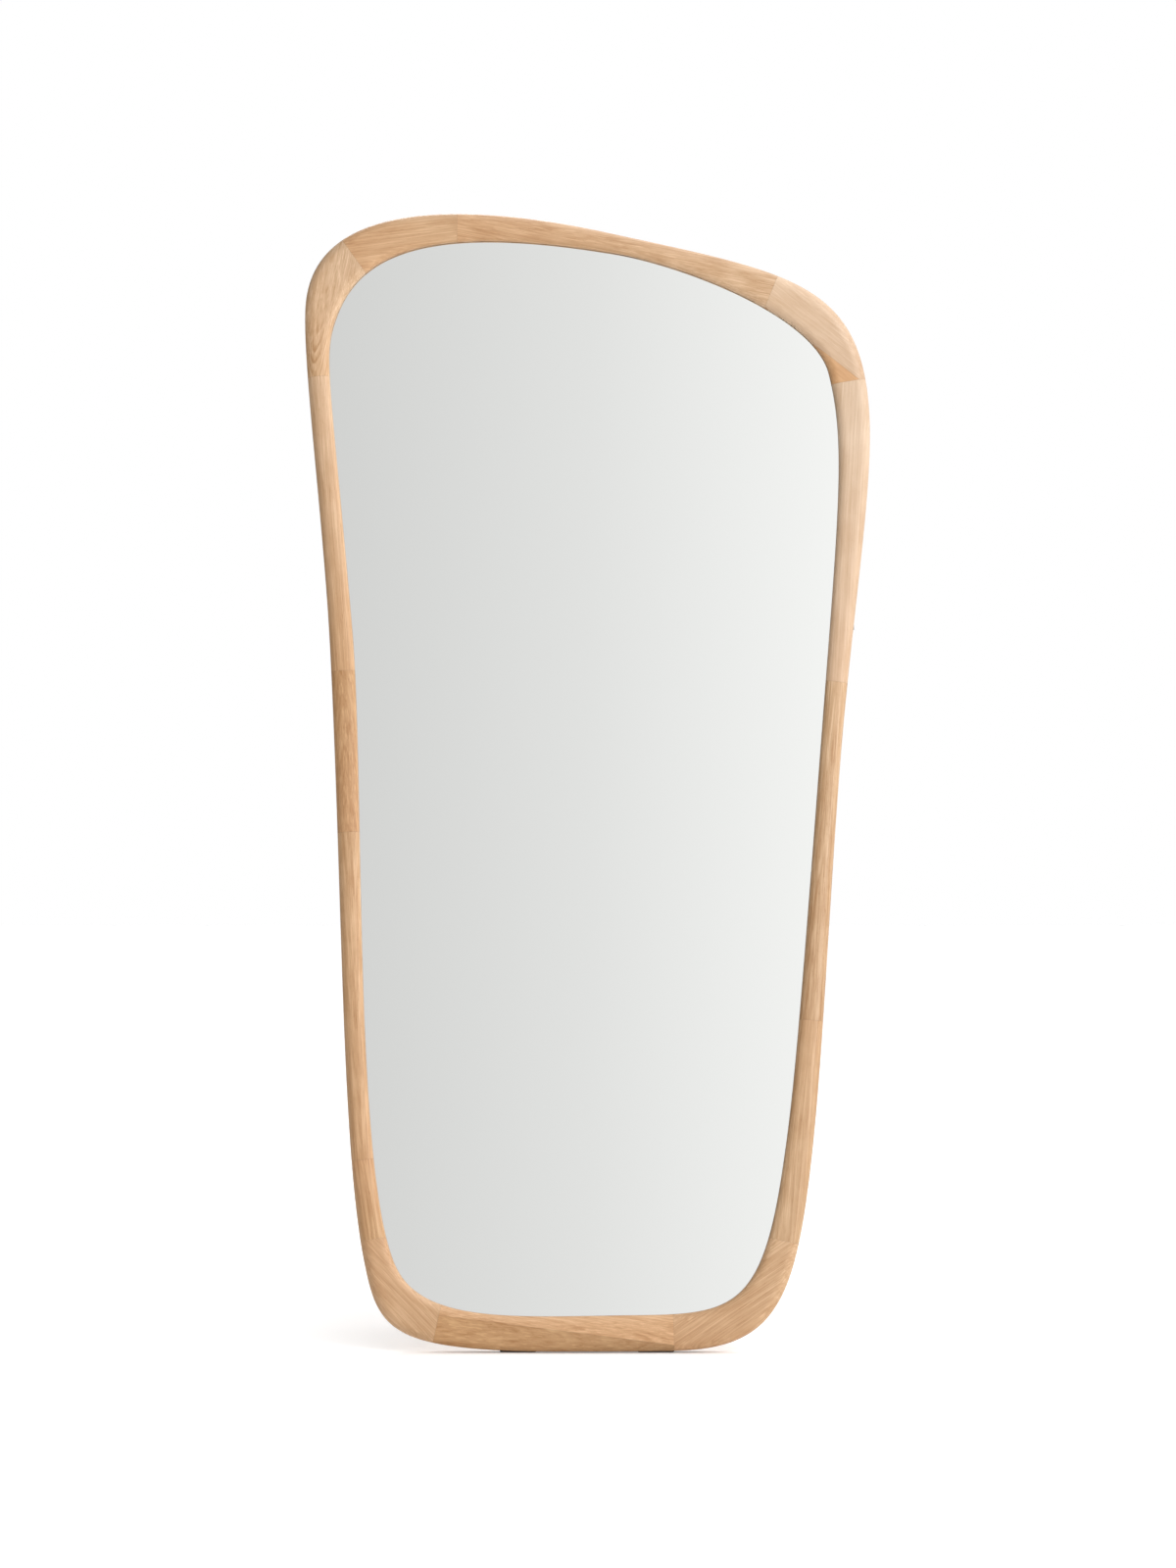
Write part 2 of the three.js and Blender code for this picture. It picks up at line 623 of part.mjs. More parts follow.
addMesh(panel, 'glazing_tape', tapeRing(), tapeGrey);
addMesh(panel, 'mirror_glass', sheet(REBATE - EDGE_PLAY, glassFront, GLASS_THICKNESS), silvered);
addMesh(panel, 'packing_card', sheet(REBATE - EDGE_PLAY, cardFront, cardThickness), cardBrown);
const board = sheet(REBATE + SHOULDER - BOARD_PLAY, boardFront, BOARD_THICKNESS);
const boardHoles = boardScrews.map(({ seat, size }) => screwHole(seat, size));
addMesh(panel, 'backboard', cut(board, boardHoles), boardBrown);

for (const { name, seat, size } of screws) {
  addMesh(panel, name, screwGeometry(size), zinc, seat);
}

for (const { side, out, axis } of hinges) {
  addMesh(panel, `hinge_bracket_${side}`, bracketGeometry(), blackSteel, axis);
  const bolt = addMesh(panel, `pivot_bolt_${side}`, boltGeometry(), zinc, axis);
  const nut = addMesh(panel, `pivot_nut_${side}`, nutGeometry(), zinc, axis);
  bolt.rotation.z = nut.rotation.z = out > 0 ? Math.PI : 0; // the head is on the outside
}

BUMPER_STATIONS.forEach((station, i) => {
  const spot = place(sectionAt(station), BUMPER.in_from_edge, DEPTH + GAP);
  addMesh(panel, `wall_bumper_${['right', 'left'][i]}`, bumperGeometry(), greyRubber, spot);
});

const stand = new THREE.Group();
stand.position.copy(hingeAxis);
stand.rotation.x = radians(SPLAY);
addMesh(stand, 'stand_tube', standTube(), blackSteel);
for (const { side, out, axis } of hinges) {
  addMesh(stand, `tube_plug_${side}`, plugGeometry(), blackPlastic, new THREE.Vector3(axis.x, 0, 0));
  const spot = new THREE.Vector3(footMiddle + (out * SLEEVE.apart) / 2, 0, -legLength);
  addMesh(stand, `foot_sleeve_${side}`, sleeveGeometry(), greyRubber, spot);
}

const mirror = new THREE.Group();
mirror.add(panel, stand);
const planedMiddle = (PLANED_FROM + DEPTH - BACK_ROUND) / 2;
for (const { side, out } of hinges) {
  const spot = new THREE.Vector3((out * PAD.apart) / 2, planedMiddle, 0);
  addMesh(mirror, `floor_pad_${side}`, padGeometry(), greyRubber, spot);
}

const room = new THREE.Box3().setFromObject(mirror, true);
const middle = room.getCenter(new THREE.Vector3());
mirror.position.set(-middle.x, -middle.y, -room.min.z);

export default mirror;
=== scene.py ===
# %% [markdown]
# # A curved floor mirror in solid wood
#
# The mirror leans back a few degrees on a folding tube stand. Its frame is glued up from
# short blocks of pale wood, sawn and sanded to one flowing line, so every block has its own
# tone and its own direction of grain. The CAD frame fixes all sizes. This file gives each
# piece the surface that a camera sees.

# %% Load the fixed frame
import json
import math

import bpy
import numpy as np
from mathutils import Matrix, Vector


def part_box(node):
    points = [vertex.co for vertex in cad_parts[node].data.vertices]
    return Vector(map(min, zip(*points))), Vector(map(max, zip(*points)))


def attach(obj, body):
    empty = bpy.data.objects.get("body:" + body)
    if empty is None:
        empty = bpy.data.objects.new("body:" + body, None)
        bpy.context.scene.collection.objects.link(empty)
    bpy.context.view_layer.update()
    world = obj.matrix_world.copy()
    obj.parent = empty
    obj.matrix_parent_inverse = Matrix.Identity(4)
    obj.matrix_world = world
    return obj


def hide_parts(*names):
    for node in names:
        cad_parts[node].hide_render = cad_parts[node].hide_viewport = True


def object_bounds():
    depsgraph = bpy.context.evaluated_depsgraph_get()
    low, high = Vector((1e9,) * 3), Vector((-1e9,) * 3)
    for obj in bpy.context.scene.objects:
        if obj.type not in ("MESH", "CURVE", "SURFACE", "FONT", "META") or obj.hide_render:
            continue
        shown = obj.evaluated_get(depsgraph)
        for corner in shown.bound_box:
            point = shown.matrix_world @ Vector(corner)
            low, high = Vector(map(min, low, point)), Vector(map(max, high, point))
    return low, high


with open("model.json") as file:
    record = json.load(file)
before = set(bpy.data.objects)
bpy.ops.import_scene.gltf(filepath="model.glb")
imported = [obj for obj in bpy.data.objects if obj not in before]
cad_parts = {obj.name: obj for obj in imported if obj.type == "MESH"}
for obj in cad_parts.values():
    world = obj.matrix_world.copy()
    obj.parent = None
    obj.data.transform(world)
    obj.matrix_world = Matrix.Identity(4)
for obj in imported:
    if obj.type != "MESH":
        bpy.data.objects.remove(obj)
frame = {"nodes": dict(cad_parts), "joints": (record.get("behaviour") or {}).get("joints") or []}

cad_low, cad_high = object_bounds()
hinge = np.array(frame["joints"][0]["pos_m"])
print("CAD box:", list(cad_low), list(cad_high))

# %% [markdown]
# ## The camera comes first
#
# A tall lens far away keeps the sides of the frame nearly parallel. The camera stands level
# with the middle of the mirror and looks straight at it, so the lean shows only as a slight
# narrowing towards the top.

# %% Camera
CAMERA_DISTANCE = 5.0014  # metres in front of the CAD box
CAMERA_HEIGHT = 0.7826
CAMERA_SIDE = 0.0013
LENS, SENSOR = 83.65, 36  # millimetres, along the picture's long side
SIGHT = 60  # metres

camera = bpy.data.objects.new("camera", bpy.data.cameras.new("camera"))
camera.data.lens = LENS
camera.data.sensor_width = SENSOR
camera.data.sensor_fit = "AUTO"
camera.data.clip_end = SIGHT
camera.location = (CAMERA_SIDE, cad_low[1] - CAMERA_DISTANCE, CAMERA_HEIGHT)
camera.rotation_euler = (math.radians(90), 0, 0)
bpy.context.scene.collection.objects.link(camera)
bpy.context.scene.camera = camera
print("the camera stands", round(CAMERA_DISTANCE, 2), "m away,", LENS, "mm lens")

# %% [markdown]
# ## Helpers
#
# Colours are written as the sRGB hex values that a colour picker gives, and one function
# turns them linear. One function adds a node with its settings and links, whatever its kind.
# One function turns a grid of points into a closed mesh.

# %% Colours
def linear(hex_colour):
    """Each sRGB channel c becomes c/12.92 when small, and ((c + 0.055)/1.055)^2.4 otherwise."""
    channels = np.array([int(hex_colour[i : i + 2], 16) for i in (1, 3, 5)]) / 255
    curve = ((channels + 0.055) / 1.055) ** 2.4
    return np.where(channels <= 0.04045, channels / 12.92, curve)


def colour(hex_colour):
    """A linear colour with full opacity."""
    return (*linear(hex_colour), 1.0)


# %% Shader nodes
def add(tree, kind, inputs=(), output=0, stops=(), **settings):
    """Adds one node with its settings and links, and gives one of its outputs, or all. Each
    input is a value or the output that feeds it. Stops are a ramp's places and grey levels."""
    made = tree.nodes.new("ShaderNode" + kind)
    for name, value in settings.items():
        setattr(made, name, value)
    elements = made.color_ramp.elements if stops else []
    while len(elements) < len(stops):
        elements.new(0.5)
    for element, (place, level) in zip(elements, stops):
        element.position = place
        element.color = (level, level, level, 1)
    for socket, value in inputs.items() if isinstance(inputs, dict) else enumerate(inputs):
        if isinstance(value, bpy.types.NodeSocket):
            tree.links.new(value, made.inputs[socket])
        else:
            made.inputs[socket].default_value = value
    return made.outputs if output is None else made.outputs[output]


def material(name, **principled):
    """A new material with its Principled shader set. Gives the material, its tree and shader."""
    made = bpy.data.materials.new(name)
    made.use_nodes = True
    tree = made.node_tree
    shader = tree.nodes["Principled BSDF"]
    for socket, value in principled.items():
        shader.inputs[socket.replace("_", " ")].default_value = value
    return made, tree, shader


# %% Meshes
def surface(name, grid, closed_along=False):
    """Skins a grid of points. Rows are rings, closed on themselves. The first and last ring
    are filled, or joined to each other when the rings run round a loop."""
    rows, columns = grid.shape[:2]
    number = np.arange(rows * columns).reshape(rows, columns)
    below = number if closed_along else number[:-1]
    above = np.roll(number, -1, 0) if closed_along else number[1:]
    quads = np.stack([below, np.roll(below, -1, 1), np.roll(above, -1, 1), above], -1)
    faces = quads.reshape(-1, 4).tolist()
    if not closed_along:
        faces += [number[0, ::-1].tolist(), number[-1].tolist()]
    points = grid.reshape(-1, 3)
    a, b, c, d = (points[quads.reshape(-1, 4)[:, i]] for i in range(4))
    middle = points.mean(0)
    outward = np.einsum("ij,ij->", (a + c) / 2 - middle, np.cross(c - a, d - b))
    if outward < 0:
        faces = [face[::-1] for face in faces]
    mesh = bpy.data.meshes.new(name)
    mesh.from_pydata(points.tolist(), [], faces)
    mesh.update()
    piece = bpy.data.objects.new(name, mesh)
    bpy.context.scene.collection.objects.link(piece)
    return piece


# %% Finishing a piece
def smooth(piece, sharp_above=35):
    """Shades the piece smooth, except over edges sharper than an angle in degrees."""
    mesh = piece.data
    mesh.polygons.foreach_set("use_smooth", [True] * len(mesh.polygons))
    mesh.set_sharp_from_angle(angle=math.radians(sharp_above))


def store(piece, name, values):
    """Keeps a number or a vector for every vertex, which a material can read."""
    kind = "FLOAT" if values.ndim == 1 else "FLOAT_VECTOR"
    attribute = piece.data.attributes.new(name, kind, "POINT")
    key = "value" if values.ndim == 1 else "vector"
    attribute.data.foreach_set(key, values.astype(np.float32).ravel())


def finish_piece(piece, finish, body, slot, *nodes, sharp_above=35):
    """Gives a piece its material and its body, shades it smooth, and hides the CAD nodes that it
    stands for. The slot is not used.
    """
    piece.data.materials.append(finish)
    smooth(piece, sharp_above)
    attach(piece, body)
    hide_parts(*nodes)
    return piece


# %% [markdown]
# ## The room: a white sweep, soft light from the right
#
# Product studios stand such a piece on white and light it from one side. The floor glows a
# little, so it stays white and only the shadow of contact shows on it. The sky around the
# scene is brighter on the right than on the left. The mirror leans back, so it shows the
# camera a strip of that sky behind the camera, which is a soft grey slope from left to right.

# %% White floor
# The eye sees white paper. The object is lit by less, as if it stood on a small white sheet.
FLOOR_SIZE = 30  # metres
PAPER_GLOW = 0.21  # only what the eye sees glows, and the object isn't lit by it
white_floor, tree, shader = material("white_sweep", Roughness=0.9)
shader.inputs["Specular IOR Level"].default_value = 0
shader.inputs["Emission Color"].default_value = (1, 1, 1, 1)
seen = add(tree, "LightPath", output="Is Camera Ray")
shades = {0: seen, 6: colour("#f3f0eb"), 7: colour("#fbfbfb")}
paper = add(tree, "Mix", shades, data_type="RGBA", output=2)
glow = add(tree, "Math", [seen, PAPER_GLOW], operation="MULTIPLY")
tree.links.new(paper, shader.inputs["Base Color"])
tree.links.new(glow, shader.inputs["Emission Strength"])
corners = np.array([[-1, -1, 0], [1, -1, 0], [1, 1, 0], [-1, 1, 0]]) * FLOOR_SIZE / 2
floor_mesh = bpy.data.meshes.new("floor")
floor_mesh.from_pydata(corners.tolist(), [], [[0, 1, 2, 3]])
floor = bpy.data.objects.new("floor", floor_mesh)
floor.data.materials.append(white_floor)
bpy.context.scene.collection.objects.link(floor)
print("floor:", FLOOR_SIZE, "m square")

# %% Sky
# Its brightness is the product of two ramps, one over the direction's sideways share and one
# over its upward share, both from 0 to 1. A ramp's levels stay below 1, so both ramps hold
# half of theirs and the strength makes up for it.
SKY_STRENGTH = 2.0
SIDE_STOPS = [
    (0.0, 0.03), (0.35, 0.12), (0.465, 0.71), (0.5, 0.83),
    (0.535, 1.0), (0.65, 1.1), (0.85, 1.1), (1.0, 0.45),
]
UP_STOPS = [(0.0, 1.0), (0.70, 1.0), (0.85, 1.4), (1.0, 1.8)]
world = bpy.data.worlds.new("studio")
bpy.context.scene.world = world
world.use_nodes = True
sky = world.node_tree
sky.nodes.clear()
direction = add(sky, "TexCoord", output="Generated")
sideways, _, upward = add(sky, "SeparateXYZ", [direction], output=None)
levels = []
for slope, stops in ((sideways, SIDE_STOPS), (upward, UP_STOPS)):
    share = add(sky, "Math", [slope, 0.5, 0.5], operation="MULTIPLY_ADD")
    halved = [(place, level / SKY_STRENGTH) for place, level in stops]
    levels.append(add(sky, "ValToRGB", [share], stops=halved))
studio = add(sky, "Math", levels, operation="MULTIPLY")
lit = add(sky, "Background", {"Color": studio, "Strength": SKY_STRENGTH**2})
plain = add(sky, "Background", {"Color": (1, 1, 1, 1), "Strength": 1.0})
seen = add(sky, "LightPath", output="Is Camera Ray")
both = add(sky, "MixShader", [seen, lit, plain])
add(sky, "OutputWorld", {"Surface": both}, output=None)
print("sky:", len(sky.nodes), "nodes")

# %% Soft boxes
LAMPS = [  # name, where it hangs and what it faces in metres, its side in metres, its watts
    ("key", (3.0, -3.1, 4.2), (0, 0, 0.6), 1.6, 72),
    ("fill", (2.9, -2.7, 1.1), (0, 0, 0.5), 1.0, 28),
    ("rim", (-0.6, 2.8, 3.8), (0, 0.4, 0.2), 1.8, 45),
]


def softbox(name, place, target, size, power):
    """A square lamp that faces a target: it tips from straight down by the angle between
    down and its line to the target, then turns to the compass heading of that line."""
    lamp = bpy.data.lights.new(name, "AREA")
    lamp.shape = "RECTANGLE"
    lamp.size, lamp.size_y = size, size
    lamp.energy = power
    made = bpy.data.objects.new(name, lamp)
    made.location = place
    away = np.array(target) - np.array(place)
    tip = math.acos(-away[2] / np.linalg.norm(away))
    made.rotation_euler = (tip, 0, math.atan2(away[1], away[0]) - math.pi / 2)
    bpy.context.scene.collection.objects.link(made)


for lamp in LAMPS:
    softbox(*lamp)
bpy.context.scene.view_settings.view_transform = "Standard"
print(len(LAMPS), "soft boxes")

# %% [markdown]
# ## The frame's two lines
#
# The outline and the sight edge, where the wood ends and the glass begins, are two closed
# chains of Bézier curves. Each anchor has a place, a heading and the reach of its handles,
# as a draughtsman sets them. The sight edge's anchors are measured from the outline's.

# %% Anchors, in millimetres and degrees
# x, up, heading, reach back, reach on | sight edge: inward, along, turn, reach back, reach on
ANCHORS = np.array([
    [120, 1.5, 1, 387, 122, 49.5, -50.5, -0.5, 158, 132],
    [300.5, 189, 80.5, 138, 145, 39.5, 50.5, 0.5, 188, 98],
    [353.5, 803, 85.3, 255, 213, 29, -2.5, 0, 389, 376],
    [399.3, 1313, 93, 110, 191, 54, 60, 10.5, 105, 87],
    [23, 1574.5, 167.4, 271, 147, 27.5, -23, 3, 94, 281],
    [-399, 1468, 266.2, 172, 77, 45.5, 13.5, -15.5, 91, 61],
    [-360.5, 975, 273.3, 183, 351, 32.5, -28.5, 2, 374, 215],
    [-308, 126, 281.6, 161, 120, 43, 23, 16.5, 134, 86],
])
ANCHOR_COUNT = len(ANCHORS)
LEAN = math.radians(6)
DEPTH = 30.0  # of the frame, front to back
LIP_DEPTH = 11.0  # of the glass's rebate, behind the face
REBATE = 5.5  # how far the rebate goes under the wood from the sight edge
SHOULDER = 7.0  # how far the backboard's ledge goes past the rebate
SHOULDER_DEPTH = 23.9  # of that ledge, behind the face
BOARD_FRONT, BOARD_BACK = 24.2, 29.2
AXIS_OUT = 13.0  # the stand's pivot, behind the frame
PIVOT_UP = 1050.0
MM = 0.001  # metres in a millimetre
print(ANCHOR_COUNT, "anchors")

# %% Bezier curves
def unit(degrees):
    """A direction of length 1: the heading's cosine and sine."""
    angle = np.radians(degrees)
    return np.stack([np.cos(angle), np.sin(angle)], -1)


outline_points, outline_headings = ANCHORS[:, :2], ANCHORS[:, 2]
inward_units = unit(outline_headings + 90)
sight_points = (
    outline_points
    + ANCHORS[:, 5:6] * inward_units
    + ANCHORS[:, 6:7] * unit(outline_headings)
)
sight_headings = outline_headings + ANCHORS[:, 7]


def bezier(points, headings, back, on, stations):
    """Points and directions at stations: k + t is the share t of the way from anchor k.
    The point is the sum of the four control points times (1-t)^3, 3t(1-t)^2, 3t^2(1-t), t^3."""
    k = np.floor(stations).astype(int) % len(points)
    n = (k + 1) % len(points)
    t = (stations % 1)[:, None]
    a, d = points[k], points[n]
    b = a + on[k, None] * unit(headings[k])
    c = d - back[n, None] * unit(headings[n])
    place = (1 - t) ** 3 * a + 3 * t * (1 - t) ** 2 * b + 3 * t**2 * (1 - t) * c + t**3 * d
    slope = (1 - t) ** 2 * (b - a) + 2 * t * (1 - t) * (c - b) + t**2 * (d - c)
    return place, slope / np.linalg.norm(slope, axis=1, keepdims=True)


SIGHT_STATIONS = np.arange(0, ANCHOR_COUNT, 0.01)
SIGHT_LINE = bezier(
    sight_points, sight_headings, ANCHORS[:, 8], ANCHORS[:, 9], SIGHT_STATIONS
)[0]
print("sight edge: a polygon of", len(SIGHT_LINE), "sides")

# %% Cross-sections
def sections(stations):
    """Cross-sections square to the outline: its point, direction along, direction inward, and
    the face's width to where the inward line crosses the sight edge."""
    stations = np.asarray(stations, float)
    edge, along = bezier(
        outline_points, outline_headings, ANCHORS[:, 3], ANCHORS[:, 4], stations
    )
    inward = np.stack([-along[:, 1], along[:, 0]], 1)
    start, end = SIGHT_LINE, np.roll(SIGHT_LINE, -1, 0)
    behind = np.einsum("smi,si->sm", start - edge[:, None], along)
    ahead = np.einsum("smi,si->sm", end - edge[:, None], along)
    share = behind / (behind - ahead)
    crossing = start + (end - start) * share[..., None]
    width = np.einsum("smi,si->sm", crossing - edge[:, None], inward)
    width[(behind > 0) | (ahead <= 0) | (width <= 0)] = np.inf
    return edge, along, inward, width.min(1)


# %% The panel's place
# The panel is drawn upright and flat, then leaned about x and set down as the CAD has it.
outline_x = bezier(
    outline_points, outline_headings, ANCHORS[:, 3], ANCHORS[:, 4],
    np.arange(0, ANCHOR_COUNT, 0.005),
)[0][:, 0]
MIDDLE_X = (outline_x.min() + outline_x.max()) / 2
TURN = np.array([
    [1, 0, 0],
    [0, math.cos(LEAN), math.sin(LEAN)],
    [0, -math.sin(LEAN), math.cos(LEAN)],
])
hinge_on_panel = np.array([0, DEPTH + AXIS_OUT, PIVOT_UP]) * MM
panel_origin = hinge - TURN @ hinge_on_panel
panel_origin[0] = -MIDDLE_X * MM


def on_panel(points):
    """Turns panel places in millimetres (across, deep, up) into the CAD's frame in metres."""
    return (np.asarray(points) * MM) @ TURN.T + panel_origin


to_back = TURN @ np.array([0, 1, 0])
print("outline spans", outline_x.min().round(1), outline_x.max().round(1), "mm")

# %% [markdown]
# ## Oiled oak, block by block
#
# Each block is a short piece of solid oak with a sawn face that was sanded round and oiled.
# Its rings are cylinders about the tree's heart. Where the heart lies straight behind the
# face and the block leans a little against it, the rings come out as arches. Where it lies
# off to one side they come out as straight stripes. So every block carries its own place in
# its own tree, as a vector on its vertices, and one material draws the rings, fibres, pores
# and glue lines from that. Some blocks were glued up from two boards, side by side.

# %% What each block is cut from
# Name, start along the outline, colour of the oak at its start and at its end, heart of the
# tree in millimetres (to the left of the grain, behind the face), how much the grain leans
# away from the face, how far it turns from the block's own line, in degrees, how lively the
# figure is, and the millimetres from one growth ring to the next.
BLOCKS = [
    ("frame_corner_bottom_right", 0.0, "#caa27b", "#d0ad89", -90, 40, 0.02, -6, 0.9, 3.2),
    ("frame_right_rail_lower", 0.89, "#cba985", "#caa580", 6, 42, 0.02, 1, 0.9, 4.4),
    ("frame_right_rail_middle", 1.5, "#c19d79", "#d0af8c", 2, 30, 0.03, 0, 1.3, 4.4),
    ("frame_right_rail_upper", 2.2, "#d5b698", "#dcc4ab", 60, 30, 0.01, 0, 0.5, 4.4),
    ("frame_corner_top_right", 3.09, "#d1b498", "#dcc0a3", 40, 60, 0.05, 11.9, 0.45, 4.4),
    ("frame_top_rail_right", 3.59, "#d5b492", "#cfa67e", -8, 35, 0.05, 0, 1.0, 4.4),
    ("frame_top_rail_left", 4.4, "#cea983", "#d3aa82", 70, 25, 0.03, -6, 0.9, 4.4),
    ("frame_corner_top_left", 4.75, "#d8b999", "#dab58f", -25, 6, 0.1, 3, 1.0, 3.1),
    ("frame_left_rail_upper", 5.3, "#d8b796", "#cfa77f", -45, 45, 0.015, 0, 1.0, 4.4),
    ("frame_left_rail_middle", 6.03, "#c89f75", "#c89d74", 0, 34, -0.12, 0, 1.1, 4.4),
    ("frame_left_rail_lower", 6.25, "#d2ad87", "#cca37b", 2, 38, 0.03, 1, 1.1, 4.4),
    ("frame_left_rail_foot", 6.77, "#c89c73", "#d0a980", -40, 30, 0.02, 2, 1.1, 4.4),
    ("frame_corner_bottom_left", 6.95, "#cea57e", "#d7b38e", 80, 30, 0.03, 8, 0.75, 3.2),
    ("frame_bottom_rail", 7.55, "#c99e71", "#b59068", -14, 34, 0.12, -5.3, 1.0, 4.0),
]
LAP = float(ANCHOR_COUNT)  # the outline closes here

# Two blocks are glued up from two boards: where the second starts, left of the grain, and
# its colour. Two have rings that stand out at one spot: how far along and to the left it
# lies, its reach along and across, and how much stronger the rings are.
SECOND_BOARDS = {
    "frame_corner_top_right": (0.9, "#d4a87d"),
    "frame_bottom_rail": (-1.0, "#d6ac83"),
}
STRONG_RINGS = {
    "frame_corner_top_left": (62, -25, 34, 8, 3.2),
    "frame_bottom_rail": (130, -2, 26, 16, 0.8),
}

NO_SEAM = 1000.0  # millimetres, further off than any block is wide
BLOCK_SHIFT = 900.0  # millimetres, so that no two blocks share their knots and stripes
print(len(BLOCKS), "blocks,", len(SECOND_BOARDS), "of them from two boards")

# %% The frame's section
# The rounds here are a little fuller than the CAD frame's facets, as a sander leaves them.
OUTER_ROUND = (16.0, 0.54, 12.0)  # at most this far across, and this share of the face; deep
INNER_ROUND = (12.5, 0.42, 8.5)
BACK_ROUND = 2.5
SANDED = 0.1  # the smooth outline stays this far inside the CAD frame's facets
TRIM = 0.04  # each block's end stands this far from the joint's middle
PLANED_UP = 2.3  # the underside is planed flat at this height above the floor
TENON_THICK, TENON_WIDE, MORTISE_DEEP, MORTISE_PLAY = 8.0, 14.0, 17.0, 0.3


def frame_profile(face):
    """Points round the section, as across and deep, for each face width. A rounded edge is a
    quarter ellipse: across = a (1 - cos t), deep = b (1 - sin t)."""
    face = np.asarray(face, float)[:, None]
    outer = np.minimum(OUTER_ROUND[0], OUTER_ROUND[1] * face)
    inner = np.minimum(INNER_ROUND[0], INNER_ROUND[1] * face)
    t = np.linspace(0, np.pi / 2, 15)[None]
    flat = np.linspace(0, 1, 8)[None, 1:-1]
    same = np.ones_like(face)
    back = np.linspace(0, np.pi / 2, 5)[None]
    across = [
        SANDED + (outer - SANDED) * (1 - np.cos(t)),
        outer + (face - inner - outer) * flat,
        face - inner * (1 - np.sin(t)),
        face, face - REBATE, face - REBATE, face - REBATE - SHOULDER, face - REBATE - SHOULDER,
        SANDED + same * (BACK_ROUND - SANDED) * (1 - np.sin(back)),
    ]
    deep = [
        same * OUTER_ROUND[2] * (1 - np.sin(t)),
        same * 0 * flat,
        same * INNER_ROUND[2] * (1 - np.cos(t)),
        same * LIP_DEPTH, same * LIP_DEPTH, same * SHOULDER_DEPTH, same * SHOULDER_DEPTH,
        same * DEPTH,
        same * (DEPTH - BACK_ROUND * (1 - np.cos(back))),
    ]
    return np.stack([np.concatenate(across, 1), np.concatenate(deep, 1)], -1)


# %% Placing the section, and the mortise's mouth
def ring_at(station_sections, profile, ahead=0.0):
    """Sets points of across and deep out from the outline, in panel millimetres."""
    edge, along, inward, _ = station_sections
    spot = edge[:, None] + profile[..., :1] * inward[:, None]
    spot = spot + np.reshape(ahead, (-1, 1, 1)) * along[:, None]
    return np.stack([spot[..., 0], profile[..., 1], spot[..., 1]], -1)


def slot_outline(face, sides=24):
    """The mortise's mouth: a circle cut in half and drawn apart, amid the solid wood."""
    angle = np.arange(sides) * 2 * np.pi / sides
    radius = TENON_THICK / 2 + MORTISE_PLAY
    straight = (TENON_WIDE - TENON_THICK) / 2 * np.sign(np.sin(angle + 1e-9))
    across = (face - REBATE) / 2 + radius * np.cos(angle)
    deep = (LIP_DEPTH + SHOULDER_DEPTH) / 2 + straight + radius * np.sin(angle)
    return np.stack([across, deep], -1)[None]


# %% Blocks with real mortises
import bmesh


def fill_between(bm, rings):
    """Fills the flat area inside the first ring of corners and outside the others."""
    edges = []
    for ring in rings:
        for a, b in zip(ring, ring[1:] + ring[:1]):
            edges.append(bm.edges.get((a, b)) or bm.edges.new((a, b)))
    bmesh.ops.triangle_fill(bm, edges=edges, use_beauty=True)


def bore(bm, mouth, bottom):
    """The wall between two rings of corners, a hole's or a solid's."""
    count = len(mouth)
    for i in range(count):
        j = (i + 1) % count
        bm.faces.new((mouth[i], mouth[j], bottom[j], bottom[i]))


def to_piece(bm, name):
    """Points a mesh's faces outwards and puts it in the scene."""
    bmesh.ops.recalc_face_normals(bm, faces=bm.faces)
    mesh = bpy.data.meshes.new(name)
    bm.to_mesh(mesh)
    bm.free()
    piece = bpy.data.objects.new(name, mesh)
    bpy.context.scene.collection.objects.link(piece)
    return piece


def corners_of(bm, points):
    """A corner for each point of a grid, row after row."""
    return [bm.verts.new(point) for point in points.reshape(-1, 3).tolist()]


# %% One block
STEP = 6.0  # millimetres between two rings along a block


def block_piece(name, start, end):
    """Rings of the section every few millimetres from start to end, then each end's flat
    face with the mortise sunk into it."""
    span = sections(np.linspace(start, end, 60))[0]
    length = np.linalg.norm(np.diff(span, axis=0), axis=1).sum()
    stations = np.linspace(start, end, max(6, round(length / STEP)) + 1)
    cuts = sections(stations)
    ahead = np.zeros(len(stations))
    ahead[0], ahead[-1] = TRIM, -TRIM
    grid = on_panel(ring_at(cuts, frame_profile(cuts[3]), ahead))
    grid[..., 2] = np.maximum(grid[..., 2], PLANED_UP * MM)
    rows, columns = grid.shape[:2]
    bm = bmesh.new()
    corner = corners_of(bm, grid)
    rings = [corner[row * columns : (row + 1) * columns] for row in range(rows)]
    for here, there in zip(rings, rings[1:]):
        bore(bm, here, there)
    for row, way in ((0, 1), (-1, -1)):
        cut = [part[row : len(part) + row + 1 if row else 1] for part in cuts]
        slot = slot_outline(cuts[3][row])
        mouth = corners_of(bm, on_panel(ring_at(cut, slot, [way * TRIM])))
        bottom = corners_of(bm, on_panel(ring_at(cut, slot, [way * MORTISE_DEEP])))
        bore(bm, mouth, bottom)
        bm.faces.new(bottom)
        fill_between(bm, [rings[row], mouth])
    return to_piece(bm, name), cuts, length


# %% Where each spot lies in its tree
def panel_places(piece):
    """Every vertex in panel millimetres: the lean and the panel's place taken off again."""
    count = len(piece.data.vertices)
    places = np.empty(count * 3, np.float32)
    piece.data.vertices.foreach_get("co", places)
    return (places.reshape(-1, 3).astype(float) - panel_origin) @ TURN / MM


